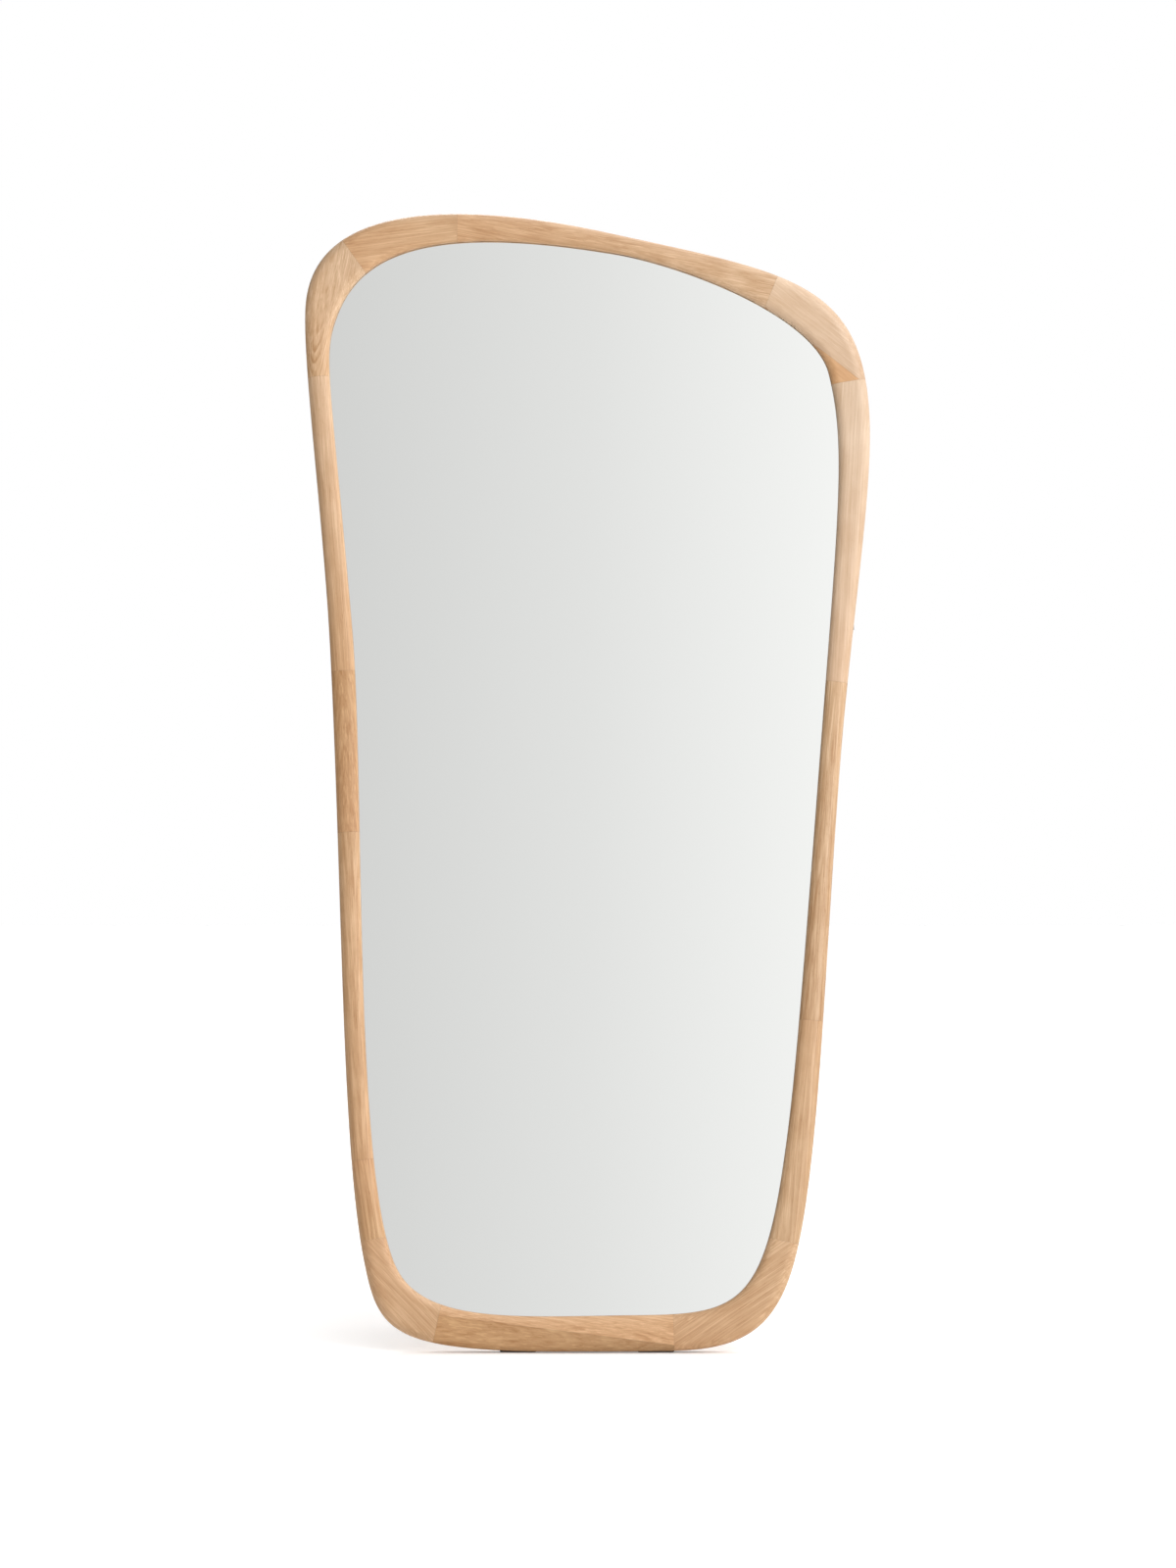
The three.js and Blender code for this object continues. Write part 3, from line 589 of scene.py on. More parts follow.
def lay_grain(
    piece, cuts, number, first_tone, last_tone, left_of, behind, leaning, turned_by, lively, ring
):
    """Board axes: x along the block's chord, y to its left, z behind the face, all measured
    from the tree's heart. The heart's depth changes along x where the grain leans."""
    edge, along, _, face = cuts
    middle = (edge[0] + edge[-1]) / 2
    chord = edge[-1] - edge[0]
    heading = math.degrees(math.atan2(chord[1], chord[0])) + turned_by
    grain, left = unit(heading), unit(heading + 90)
    places = panel_places(piece)
    flat = places[:, [0, 2]]
    x, y = (flat - middle) @ grain, (flat - middle) @ left - face.mean() / 2
    z = places[:, 1] + behind + leaning * x
    store(piece, "grain", np.stack([x + BLOCK_SHIFT * number, y - left_of, z], 1))
    from_start = np.abs((flat - edge[0]) @ along[0])
    joint = np.minimum(from_start, np.abs((flat - edge[-1]) @ along[-1]))
    node = piece.name.removeprefix("oak_")
    seam, second = SECOND_BOARDS.get(node, (NO_SEAM, first_tone))
    spot_x, spot_y, long, wide, strength = STRONG_RINGS.get(node, (0, 0, 1, 1, 0.0))
    away = ((x - spot_x) / long) ** 2 + ((y - spot_y) / wide) ** 2
    strong = strength * np.exp(-away)  # fades like a bell curve round its spot
    store(piece, "edges", np.stack([y - seam, joint, strong], 1))
    share = np.clip(0.5 + (flat - middle) @ chord / (chord @ chord), 0, 1)[:, None]
    store(piece, "tone", linear(first_tone) * (1 - share) + linear(last_tone) * share)
    store(piece, "second_tone", np.tile(linear(second), (len(places), 1)))
    store(piece, "lively", np.full(len(places), lively))
    store(piece, "ring", np.full(len(places), ring))


# %% [markdown]
# The oak's surface: rings a few millimetres apart with a darker late band, long fibres, short
# open pores, a soft cloudiness, and a thin dark line of glue at each joint. An oil finish
# leaves it satin, with the pores a little duller than the wood between them.

# %% Oak: what each block brings along
oak, tree, shader = material("oiled_oak", IOR=1.47)
own = {}
for name in ("grain", "edges", "tone", "second_tone"):
    own[name] = add(tree, "Attribute", attribute_name=name, output="Vector")
for name in ("lively", "ring"):
    own[name] = add(tree, "Attribute", attribute_name=name, output="Fac")
past, joint, strong = add(tree, "SeparateXYZ", [own["edges"]], output=None)
print("oak reads", ", ".join(own))

# %% Oak: noises stretched along the grain
# One unit of each noise in millimetres along and across the board, its detail, roughness.
NOISES = {
    "wander": (160, 40, 1.0, 0.5),  # of the heart line
    "uneven": (400, 14, 1.0, 0.5),  # widths of the rings
    "year": (500, 9, 1.0, 0.5),  # some years draw more than others
    "fibre": (80, 1.6, 3.0, 0.65),  # coarse enough to show
    "stripe": (260, 5.0, 1.0, 0.5),
    "cloud": (50, 24, 2.0, 0.5),
    "pore": (8, 0.9, 1.0, 0.5),
    "ray": (110, 1.8, 1.0, 0.5),  # pale strands, as wide as they show
}
noise = {}
for name, (along, across, detail, rough) in NOISES.items():
    scale = (1 / along, 1 / across, 1 / across)
    board = add(tree, "VectorMath", [own["grain"], scale], operation="MULTIPLY")
    inputs = {"Vector": board, "Scale": 1.0, "Detail": detail, "Roughness": rough}
    noise[name] = add(tree, "TexNoise", inputs, output="Color" if name == "wander" else "Fac")
print(len(noise), "noises")

# %% Oak: growth rings
# The distance from the heart is the root of across squared plus deep squared. Divided by the
# ring's width, its fraction tells early wood from late wood.
HEART_SWING, RING_SWING = 3.5, 0.9  # millimetres, and rings
LATE_STOPS = [(0.0, 0.2), (0.12, 0.0), (0.5, 0.2), (0.88, 1.0), (1.0, 0.2)]
YEAR_STOPS = [(0.3, 0.2), (0.7, 1.0)]
swings = [(2 * HEART_SWING,) * 3, (-HEART_SWING,) * 3]
bent = add(tree, "VectorMath", [noise["wander"], *swings], operation="MULTIPLY_ADD")
bent = add(tree, "VectorMath", [own["grain"], bent], operation="ADD")
_, sideways, deep = add(tree, "SeparateXYZ", [bent], output=None)
square = add(tree, "Math", [sideways, sideways], operation="MULTIPLY")
square = add(tree, "Math", [deep, deep, square], operation="MULTIPLY_ADD")
radius = add(tree, "Math", [square], operation="SQRT")
rings = add(tree, "Math", [radius, own["ring"]], operation="DIVIDE")
uneven = [noise["uneven"], 2 * RING_SWING, -RING_SWING]
uneven = add(tree, "Math", uneven, operation="MULTIPLY_ADD")
rings = add(tree, "Math", [rings, uneven], operation="ADD")
late = add(tree, "Math", [rings], operation="FRACT")
late = add(tree, "ValToRGB", [late], stops=LATE_STOPS)
drawn = add(tree, "ValToRGB", [noise["year"]], stops=YEAR_STOPS)
drawn = add(tree, "Math", [drawn, strong], operation="ADD")
late = add(tree, "Math", [late, drawn], operation="MULTIPLY")

# %% Oak: pores and rays
# Pores crowd in the rings' darker band. Rays are the pale strands between the fibres.
PORE_STOPS = [(0.0, 1.0), (0.32, 1.0), (0.40, 0.0)]
RAY_STOPS = [(0.0, 0.0), (0.55, 0.0), (0.66, 1.0)]
pore = add(tree, "ValToRGB", [noise["pore"]], stops=PORE_STOPS)
CROWDING = 0.6  # how much more the dark band's pores show than the others
crowding = add(tree, "Math", [late, CROWDING, 1 - CROWDING], operation="MULTIPLY_ADD")
pore = add(tree, "Math", [pore, crowding], operation="MULTIPLY")
ray = add(tree, "ValToRGB", [noise["ray"]], stops=RAY_STOPS)

# %% Oak: how dark each place is
# A sum of the marks, each by its strength, times how lively the block is. Then come the
# clouds, and a share of it mixes a paler and a deeper shade of the block's own tone.
MARKS = [
    (late, 0.36), (noise["fibre"], 1.40), (noise["stripe"], 1.10), (pore, 0.45), (ray, -0.50),
]
MARKS_START = -1.25  # half of what fibre and stripe add, so that they darken and lighten
CLOUD, CLOUD_START = 0.90, -0.21
CONTRAST, MIDDLE_SHADE = 0.75, 0.25
dark = MARKS_START
for mark, strength in MARKS:
    dark = add(tree, "Math", [mark, strength, dark], operation="MULTIPLY_ADD")
dark = add(tree, "Math", [dark, own["lively"], CLOUD_START], operation="MULTIPLY_ADD")
dark = add(tree, "Math", [noise["cloud"], CLOUD, dark], operation="MULTIPLY_ADD")
dark = add(tree, "Math", [dark, CONTRAST, MIDDLE_SHADE], operation="MULTIPLY_ADD")

# %% Oak: colour
DEEPER, LIGHTER = (0.70, 0.58, 0.45), (1.10, 1.13, 1.17)  # times the block's tone
GLUE_LINE, GLUE_SHADE = 0.5, 0.16  # half the line's width in millimetres, how dark it is
on_second = add(tree, "Math", [past, 0.0], operation="GREATER_THAN")
tones = {0: on_second, 6: own["tone"], 7: own["second_tone"]}
tone = add(tree, "Mix", tones, data_type="RGBA", output=2)
deeper = add(tree, "VectorMath", [tone, DEEPER], operation="MULTIPLY")
lighter = add(tree, "VectorMath", [tone, LIGHTER], operation="MULTIPLY")
shades = {0: dark, 6: lighter, 7: deeper}
wood = add(tree, "Mix", shades, data_type="RGBA", clamp_factor=True, output=2)
near_joint = add(tree, "Math", [joint, GLUE_LINE], operation="LESS_THAN")
near_seam = add(tree, "Math", [past], operation="ABSOLUTE")
near_seam = add(tree, "Math", [near_seam, GLUE_LINE], operation="LESS_THAN")
line = add(tree, "Math", [near_joint, near_seam], operation="MAXIMUM")
line = add(tree, "Math", [line, GLUE_SHADE], operation="MULTIPLY")
shades = {0: line, 6: wood, 7: colour("#7d5a3c")}
wood = add(tree, "Mix", shades, data_type="RGBA", output=2)
tree.links.new(wood, shader.inputs["Base Color"])
print("the oak's tree has", len(tree.nodes), "nodes")

# %% Oak: oiled sheen and open pores
PORE_DEPTH = 0.1 * MM
OILED, FIBRE_DULLS, PORE_DULLS = 0.34, 0.16, 0.2
rough = add(tree, "Math", [noise["fibre"], FIBRE_DULLS, OILED], operation="MULTIPLY_ADD")
rough = add(tree, "Math", [pore, PORE_DULLS, rough], operation="MULTIPLY_ADD")
tree.links.new(rough, shader.inputs["Roughness"])
height = add(tree, "Math", [pore, -1.0, noise["fibre"]], operation="MULTIPLY_ADD")
bump = add(tree, "Bump", {"Height": height, "Strength": 0.5, "Distance": PORE_DEPTH})
tree.links.new(bump, shader.inputs["Normal"])

# %% Make the fourteen blocks
ends = [start for _, start, *_ in BLOCKS[1:]] + [LAP]
triangles = 0
for number, ((name, start, *board), end) in enumerate(zip(BLOCKS, ends)):
    piece, cuts, length = block_piece("oak_" + name, start, end)
    lay_grain(piece, cuts, number, *board)
    finish_piece(piece, oak, "mirror", "frame_wood", name)
    triangles += sum(len(face.vertices) - 2 for face in piece.data.polygons)
    print(name, round(length), "mm long, face", cuts[3].min().round(), "to", cuts[3].max().round())
print("about", triangles, "triangles of oak")

# %% [markdown]
# ## Silvered glass
#
# A mirror is 4 mm float glass, silvered and painted on the back. The eye sees the silver,
# so the front is a polished metal with the faint green-grey of the glass over it. The ground
# edge is green, and the back carries grey paint.

# %% Glass
# Which face a spot is on comes from its normal: the share of it that points to the front.
mirror, tree, shader = material("silvered_float_glass", Metallic=1.0, Roughness=0.0)
facing = add(tree, "NewGeometry", output="Normal")
to_front = tuple(-to_back)
forward = add(tree, "VectorMath", [facing, to_front], operation="DOT_PRODUCT", output="Value")
front = add(tree, "Math", [forward, 0.5], operation="GREATER_THAN")
back = add(tree, "Math", [forward, -0.5], operation="LESS_THAN")
shades = {0: front, 6: colour("#8fb3a4"), 7: colour("#f4f5f3")}
ground = add(tree, "Mix", shades, data_type="RGBA", output=2)
shades = {0: back, 6: ground, 7: colour("#6f7476")}
painted = add(tree, "Mix", shades, data_type="RGBA", output=2)
tree.links.new(painted, shader.inputs["Base Color"])
tree.links.new(front, shader.inputs["Metallic"])

# %% Glass: a hardly visible smear on the front, and a duller edge and back
SMEAR, DULL = 0.012, 0.35
places = add(tree, "TexCoord", output="Object")
smear = add(tree, "TexNoise", {"Vector": places, "Scale": 6.0, "Detail": 2.0})
dull = add(tree, "Math", [front, -DULL, DULL], operation="MULTIPLY_ADD")
rough = add(tree, "Math", [smear, SMEAR, dull], operation="MULTIPLY_ADD")
tree.links.new(rough, shader.inputs["Roughness"])
print("the glass's tree has", len(tree.nodes), "nodes")

# %% Beech, foam tape and packing card
SPECKLE_STOPS = [(0.35, 0.0), (0.65, 1.0)]  # noise seldom leaves this range
FINE_SHARE, PATCHES = 0.6, 18.0  # the rest of the shade comes from patches, this many a metre


def speckled(name, dark_hex, light_hex, grain_size, rough, bump_height, **principled):
    """A plain material with fine speckle. The grain's size and the bump's height are in mm."""
    made, tree, shader = material(name, Roughness=rough, **principled)
    places = add(tree, "TexCoord", output="Object")
    inputs = {"Vector": places, "Scale": 1 / (grain_size * MM), "Detail": 3.0, "Roughness": 0.6}
    fine = add(tree, "TexNoise", inputs)
    wide = add(tree, "TexNoise", {"Vector": places, "Scale": PATCHES})
    shade = add(tree, "Math", [fine, FINE_SHARE], operation="MULTIPLY")
    shade = add(tree, "Math", [wide, 1 - FINE_SHARE, shade], operation="MULTIPLY_ADD")
    shade = add(tree, "ValToRGB", [shade], stops=SPECKLE_STOPS)
    shades = {0: shade, 6: colour(dark_hex), 7: colour(light_hex)}
    mixed = add(tree, "Mix", shades, data_type="RGBA", output=2)
    tree.links.new(mixed, shader.inputs["Base Color"])
    inputs = {"Height": fine, "Strength": 0.6, "Distance": bump_height * MM}
    tree.links.new(add(tree, "Bump", inputs), shader.inputs["Normal"])
    return made


def keep_cad(node, finish):
    """A CAD node whose shape is already right gets its material."""
    mesh = frame["nodes"][node].data
    mesh.materials.clear()
    mesh.materials.append(finish)


# %% Glass, tape, card and tenons keep their CAD shapes
beech = speckled("beech_tenon", "#c79a68", "#dcb482", 1.5, 0.6, 0.05)
tape = speckled("foam_tape", "#3a3937", "#5b5956", 0.6, 0.95, 0.1)
card = speckled("packing_card", "#a98d62", "#c3a679", 1.2, 0.95, 0.05)
keep_cad("mirror_glass", mirror)
keep_cad("glazing_tape", tape)
keep_cad("packing_card", card)
for number in range(1, len(BLOCKS) + 1):
    keep_cad(f"tenon_{number}", beech)
print(len(BLOCKS) + 3, "pieces keep their CAD shape")

# %% [markdown]
# ## The back: board, screws and rubber
#
# A sheet of hardboard closes the back, let into the rebate and held by small screws, so the
# glass can be changed. The back isn't seen in a shop, but it is handled, so its edges are
# eased and its screws have real cross recesses.

# %% Turned pieces
def across_axis(axis):
    """Two directions square to an axis and to each other."""
    axis = np.asarray(axis, float) / np.linalg.norm(axis)
    helper = np.array([0, 0, 1.0]) if abs(axis[2]) < 0.9 else np.array([1.0, 0, 0])
    first = np.cross(axis, helper)
    first /= np.linalg.norm(first)
    return axis, first, np.cross(axis, first)


def turned(name, profile, spot, axis, sides=40, loop=False):
    """A solid turned about an axis. A row of the profile is how far along it lies and its
    radius, in millimetres. A radius may change with the angle: then it is one per side."""
    axis, first, second = across_axis(axis)
    angle = np.arange(sides) * 2 * np.pi / sides
    along = np.array([row[0] for row in profile], float) * MM
    radii = np.stack([np.broadcast_to(row[1], sides) for row in profile]) * MM
    spoke = np.cos(angle)[:, None] * first + np.sin(angle)[:, None] * second
    grid = np.asarray(spot) + along[:, None, None] * axis + radii[..., None] * spoke
    return surface(name, grid, closed_along=loop)


# %% Screws
CROSS = [(1.0, 0.52, 0.16), (0.45, 0.42, 0.12)]  # mouth, floor: how high, arm's reach, half width
BRIM = 0.3  # how high the head's straight edge goes, as a share of its rise


def cross_shape(sides, reach, half):
    """How far out a cross-shaped recess goes at each angle: out to the arm's end, or to the
    arm's side where that comes first."""
    angle = (np.arange(sides) * 2 * np.pi / sides) % (np.pi / 2)
    angle = np.minimum(angle, np.pi / 2 - angle)
    side = half / np.maximum(np.sin(angle), 1e-6)
    return np.minimum(reach / np.cos(angle), np.maximum(side, half * 1.2))


def hexagon_shape(sides, across_flats):
    """A hexagon's edge is half its flats' distance over the cosine of the angle to a flat."""
    angle = np.arange(sides) * 2 * np.pi / sides
    return across_flats / 2 / np.cos((angle % (np.pi / 3)) - np.pi / 6)


def screw_profile(shank, head, rise, long, sides=48):
    """From the point, up the shank, out under the head, over its dome and into the recess."""
    rows = [(-long, 0.15), (-long + 2 * shank, shank), (-0.4, shank), (0, shank + 0.3), (0, head)]
    rows.append((BRIM * rise, head))
    for d in np.linspace(0, 1, 7)[1:]:
        rows.append((rise * (BRIM + (1 - BRIM) * d**0.6), head * (1 - 0.42 * d**2)))
    for up, reach, half in CROSS:
        rows.append((up * rise, cross_shape(sides, reach * head, half * head)))
    rows += [(0.35 * rise, 0.08 * head)]
    return rows


def middle_of(node):
    """The middle of a CAD node's box."""
    low, high = (np.array(corner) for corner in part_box(node))
    return (low + high) / 2


# %% Zinc, black steel, black plastic and rubber
ROUGH_SWING = 0.1


def brushed_metal(name, dark_hex, light_hex, rough, metallic, stroke):
    """Metal with fine marks from making. The marks' size is in millimetres."""
    made, tree, shader = material(name, Metallic=metallic)
    places = add(tree, "TexCoord", output="Object")
    inputs = {"Vector": places, "Scale": 1 / (stroke * MM), "Detail": 4.0, "Roughness": 0.65}
    marks = add(tree, "TexNoise", inputs)
    shade = add(tree, "ValToRGB", [marks], stops=SPECKLE_STOPS)
    shades = {0: shade, 6: colour(dark_hex), 7: colour(light_hex)}
    mixed = add(tree, "Mix", shades, data_type="RGBA", output=2)
    tree.links.new(mixed, shader.inputs["Base Color"])
    swing = [marks, 2 * ROUGH_SWING, rough - ROUGH_SWING]
    varied = add(tree, "Math", swing, operation="MULTIPLY_ADD")
    tree.links.new(varied, shader.inputs["Roughness"])
    inputs = {"Height": marks, "Strength": 0.4, "Distance": 0.03 * MM}
    tree.links.new(add(tree, "Bump", inputs), shader.inputs["Normal"])
    return made


# Zinc plate is bright with a slightly blue, patchy bloom.
zinc = brushed_metal("zinc_plate", "#a9adb2", "#d5d8da", 0.32, 1.0, 2.5)
# Powder coat on steel is black with a fine orange-peel skin, so its highlights break up.
powder_coat = speckled("black_powder_coat", "#1b1b1c", "#29292a", 0.9, 0.5, 0.04)
black_nylon = speckled("black_nylon", "#141415", "#212122", 0.5, 0.55, 0.01)
# Rubber is dark grey and dull, with a dusty bloom.
rubber = speckled("grey_rubber", "#4b4947", "#676461", 0.7, 0.88, 0.05)
print("zinc, powder coat, nylon and rubber are ready")

# %% Hardboard
# It is brown wood fibre pressed flat: fine fibres with darker clumps.
CLUMP, CLUMP_BUMP = 2.2, 0.08  # millimetres
CLUMP_SHARE = 0.88  # the rest of the shade comes from patches
hardboard, tree, shader = material("pressed_hardboard", Roughness=0.7)
places = add(tree, "TexCoord", output="Object")
inputs = {"Vector": places, "Scale": 1 / (CLUMP * MM), "Detail": 5.0, "Roughness": 0.7}
clumps = add(tree, "TexNoise", {**inputs, "Distortion": 1.5})
wide = add(tree, "TexNoise", {"Vector": places, "Scale": 9.0, "Detail": 2.0})
shade = add(tree, "Math", [clumps, CLUMP_SHARE], operation="MULTIPLY")
shade = add(tree, "Math", [wide, 1 - CLUMP_SHARE, shade], operation="MULTIPLY_ADD")
shade = add(tree, "ValToRGB", [shade], stops=[(0.34, 0.0), (0.64, 1.0)])
shades = {0: shade, 6: colour("#7d5733"), 7: colour("#a77c4f")}
fibres = add(tree, "Mix", shades, data_type="RGBA", output=2)
tree.links.new(fibres, shader.inputs["Base Color"])
inputs = {"Height": clumps, "Strength": 0.5, "Distance": CLUMP_BUMP * MM}
tree.links.new(add(tree, "Bump", inputs), shader.inputs["Normal"])

# %% Backboard
BOARD_PLAY = 0.5
ARRIS = 0.6  # the sheet's edges are eased this much
HOLE = 1.8  # radius
BOARD_SCREWS = 9
every = sections(np.arange(0, LAP, 0.02))
edge_steps = np.array([
    [ARRIS, BOARD_FRONT], [0, BOARD_FRONT + ARRIS], [0, BOARD_BACK - ARRIS], [ARRIS, BOARD_BACK],
])
inset = every[3][:, None] - REBATE - SHOULDER + BOARD_PLAY + edge_steps[None, :, 0]
profile = np.stack([inset, np.broadcast_to(edge_steps[:, 1], inset.shape)], -1)
bm = bmesh.new()
corner = corners_of(bm, on_panel(ring_at(every, profile)))
levels = [corner[level :: len(edge_steps)] for level in range(len(edge_steps))]
for here, there in zip(levels, levels[1:]):
    bore(bm, here, there)


# %% Its nine screw holes
front_rings, back_rings = [levels[0]], [levels[-1]]
_, round_x, round_z = across_axis(to_back)
angle = np.arange(20) * 2 * np.pi / 20
rim = (np.cos(angle)[:, None] * round_x + np.sin(angle)[:, None] * round_z) * HOLE * MM
for number in range(1, BOARD_SCREWS + 1):
    middle = middle_of(f"backboard_screw_{number}")
    deep = (middle - panel_origin) @ to_back / MM
    on_front = middle + to_back * (BOARD_FRONT - deep) * MM + rim
    on_back = middle + to_back * (BOARD_BACK - deep) * MM + rim
    near, far = corners_of(bm, on_front), corners_of(bm, on_back)
    bore(bm, near, far)
    front_rings.append(near)
    back_rings.append(far)
fill_between(bm, front_rings)
fill_between(bm, back_rings)
board = to_piece(bm, "hardboard_back")
finish_piece(board, hardboard, "mirror", "backboard", "backboard")
print("backboard:", len(board.data.polygons), "faces")

# %% Drive the screws
BOARD_SCREW = {"shank": 1.5, "head": 2.9, "rise": 1.8, "long": 17}
BRACKET_SCREW = {"shank": 1.75, "head": 3.4, "rise": 2.0, "long": 20}


def screw(node, size):
    """A screw that points to the panel's front. Its head's top touches the CAD box's back."""
    middle = middle_of(node)
    total = size["long"] + size["rise"]
    seat = middle + to_back * (total / 2 - size["rise"]) * MM
    piece = turned("cross_" + node, screw_profile(**size), seat, to_back, sides=48)
    return finish_piece(piece, zinc, "mirror", "zinc_steel", node)


for number in range(1, BOARD_SCREWS + 1):
    screw(f"backboard_screw_{number}", BOARD_SCREW)
for place in ("left_upper", "left_lower", "right_upper", "right_lower"):
    screw(f"bracket_screw_{place}", BRACKET_SCREW)
print(BOARD_SCREWS + 4, "screws")

# %% [markdown]
# ## The hinge brackets
#
# A bracket is a strip of steel with two ears bent up from it, a pivot bolt through the ears
# and a lock nut on the inside. The CAD shape is right except for its sharp edges. So a copy
# of it gets its flat faces merged again and a small bevel on every edge, as tumbling gives.

# %% Brackets
def eased_copy(node, name, ease):
    """Merges a CAD node's loose triangles, joins the flat ones, and rounds the edges."""
    bm = bmesh.new()
    bm.from_mesh(frame["nodes"][node].data)
    bmesh.ops.remove_doubles(bm, verts=bm.verts, dist=0.01 * MM)
    bmesh.ops.dissolve_limit(
        bm, angle_limit=math.radians(1), verts=bm.verts, edges=bm.edges, delimit={"NORMAL"}
    )
    piece = to_piece(bm, name)
    bevel = piece.modifiers.new("eased", "BEVEL")
    bevel.width = ease * MM
    bevel.segments = 3
    bevel.limit_method = "ANGLE"
    bevel.angle_limit = math.radians(50)
    bevel.harden_normals = False
    return piece


SIDES = {"left": -1, "right": 1}  # which way along x each one lies
BRACKET_EASE = 0.35
for side in SIDES:
    bracket = eased_copy(f"hinge_bracket_{side}", f"pressed_bracket_{side}", BRACKET_EASE)
    finish_piece(bracket, powder_coat, "mirror", "black_steel", f"hinge_bracket_{side}")
    print(side, "bracket:", len(bracket.data.polygons), "faces before its bevel")


# %% Pivot bolts
HALF_BRACKET = 9.0  # half of the bracket's width over its ears
GAP = 0.3
NUT_FLATS, NUT_THICK = 8.0, 4.0
SHANK, HEAD, RISE, PAST_NUT = 2.5, 4.6, 2.8, 1.2  # the bolt's radii, and its heights
SOCKET_FLATS, SOCKET_DEEP, SOCKET_TAPER = 3.6, 0.45, 0.96  # millimetres, of the head, below
THREAD_STEP, THREAD_DEEP = 0.4, 0.22  # from a crest to the next root
EASE = 0.4
pivots = {}
for side in SIDES:
    middle = middle_of(f"hinge_bracket_{side}")
    pivots[side] = np.array([middle[0], hinge[1], hinge[2]])


def bolt_profile(sides):
    """A hexagon socket, a domed head whose radius goes with the sine of an angle, and a
    shank whose thread steps in and out."""
    start = -HALF_BRACKET - GAP
    end = HALF_BRACKET + GAP + NUT_THICK + PAST_NUT
    socket = hexagon_shape(sides, SOCKET_FLATS)
    bottom = start - SOCKET_DEEP * RISE
    rows = [(bottom, 0.2), (bottom, SOCKET_TAPER * socket), (start - RISE, socket)]
    for a in np.linspace(0, np.pi / 2, 7):
        rise = RISE * (0.05 + 0.95 * np.cos(a) ** 0.8)
        rows.append((start - rise, HEAD * (0.6 + 0.4 * np.sin(a))))
    thread = np.arange(start + 0.2, end - EASE, THREAD_STEP)
    ripple = np.where(np.arange(len(thread)) % 2, SHANK - THREAD_DEEP, SHANK)
    return rows + [(start, SHANK)] + list(zip(thread, ripple)) + [(end, SHANK - EASE), (end, 0.2)]


for side, out in SIDES.items():
    rows = bolt_profile(48)
    bolt = turned(f"button_bolt_{side}", rows, pivots[side], (-out, 0, 0), sides=48)
    finish_piece(bolt, zinc, "mirror", "zinc_steel", f"pivot_bolt_{side}", sharp_above=30)
    print(side, "bolt:", len(rows), "rings")


# %% Lock nuts
def nut_profile(sides):
    """Round its hole again: a chamfered face, the six flats and the collar that locks it."""
    near, far = HALF_BRACKET + GAP, HALF_BRACKET + GAP + NUT_THICK
    flats = hexagon_shape(sides, NUT_FLATS)
    chamfer, bore_radius = NUT_FLATS / 2 * 1.02, SHANK + 0.1
    return [
        (near, bore_radius), (near, chamfer), (near + 0.35, flats), (far - 1.5, flats),
        (far - 1.15, chamfer), (far - 1.0, 0.92 * chamfer), (far - 0.3, 0.88 * chamfer),
        (far, 0.8 * chamfer), (far, bore_radius),
    ]


for side, out in SIDES.items():
    rows = nut_profile(72)
    nut = turned(f"lock_nut_{side}", rows, pivots[side], (-out, 0, 0), sides=72, loop=True)
    finish_piece(nut, zinc, "mirror", "zinc_steel", f"pivot_nut_{side}", sharp_above=25)
    print(side, "nut:", NUT_FLATS, "mm over its flats")


# %% [markdown]
# ## The folding stand
#
# One steel tube is bent into a long U and powder coated black. Nylon plugs close its upper
# ends, which bear on the brackets when the stand is open, and two ribbed rubber sleeves grip
# the floor. The tube is a circle carried along straight runs and round bends.

# %% The stand's sizes
SPLAY = math.radians(5)
TUBE_RADIUS, TUBE_WALL = 7.0, 1.2
LEG_STRAIGHT, FOOT_BAR = 60.0, 420.0
KNEE_RADIUS, CORNER_RADIUS = 120.0, 45.0
SLEEVE_RADIUS, SLEEVE_LONG = 9.0, 40.0
PLUG_FLANGE, PLUG_STEM = 1.5, 9.0
PLATE = 1.5  # the bracket's plate, which the plugs meet
hinge_x = {side: pivots[side][0] / MM for side in SIDES}
foot_middle = (hinge_x["left"] + hinge_x["right"]) / 2
leg_length = (hinge[2] / MM - SLEEVE_RADIUS) / math.cos(SPLAY)
open_angle = LEAN + SPLAY
room = AXIS_OUT - PLATE - 2 * GAP
heel = (room - TUBE_RADIUS * math.cos(open_angle)) / math.sin(open_angle)
tube_end = heel - PLUG_FLANGE - GAP
print("legs:", round(leg_length), "mm from the pivot to the floor")

# %% Where the tube runs
def on_stand(points):
    """Stand millimetres (across, out of its plane, up from the hinge) into the CAD's frame."""
    x, out, up = np.moveaxis(np.asarray(points, float) * MM, -1, 0)
    y = out * math.cos(SPLAY) - up * math.sin(SPLAY)
    z = out * math.sin(SPLAY) + up * math.cos(SPLAY)
    return np.stack([x, y + hinge[1], z + hinge[2]], -1)


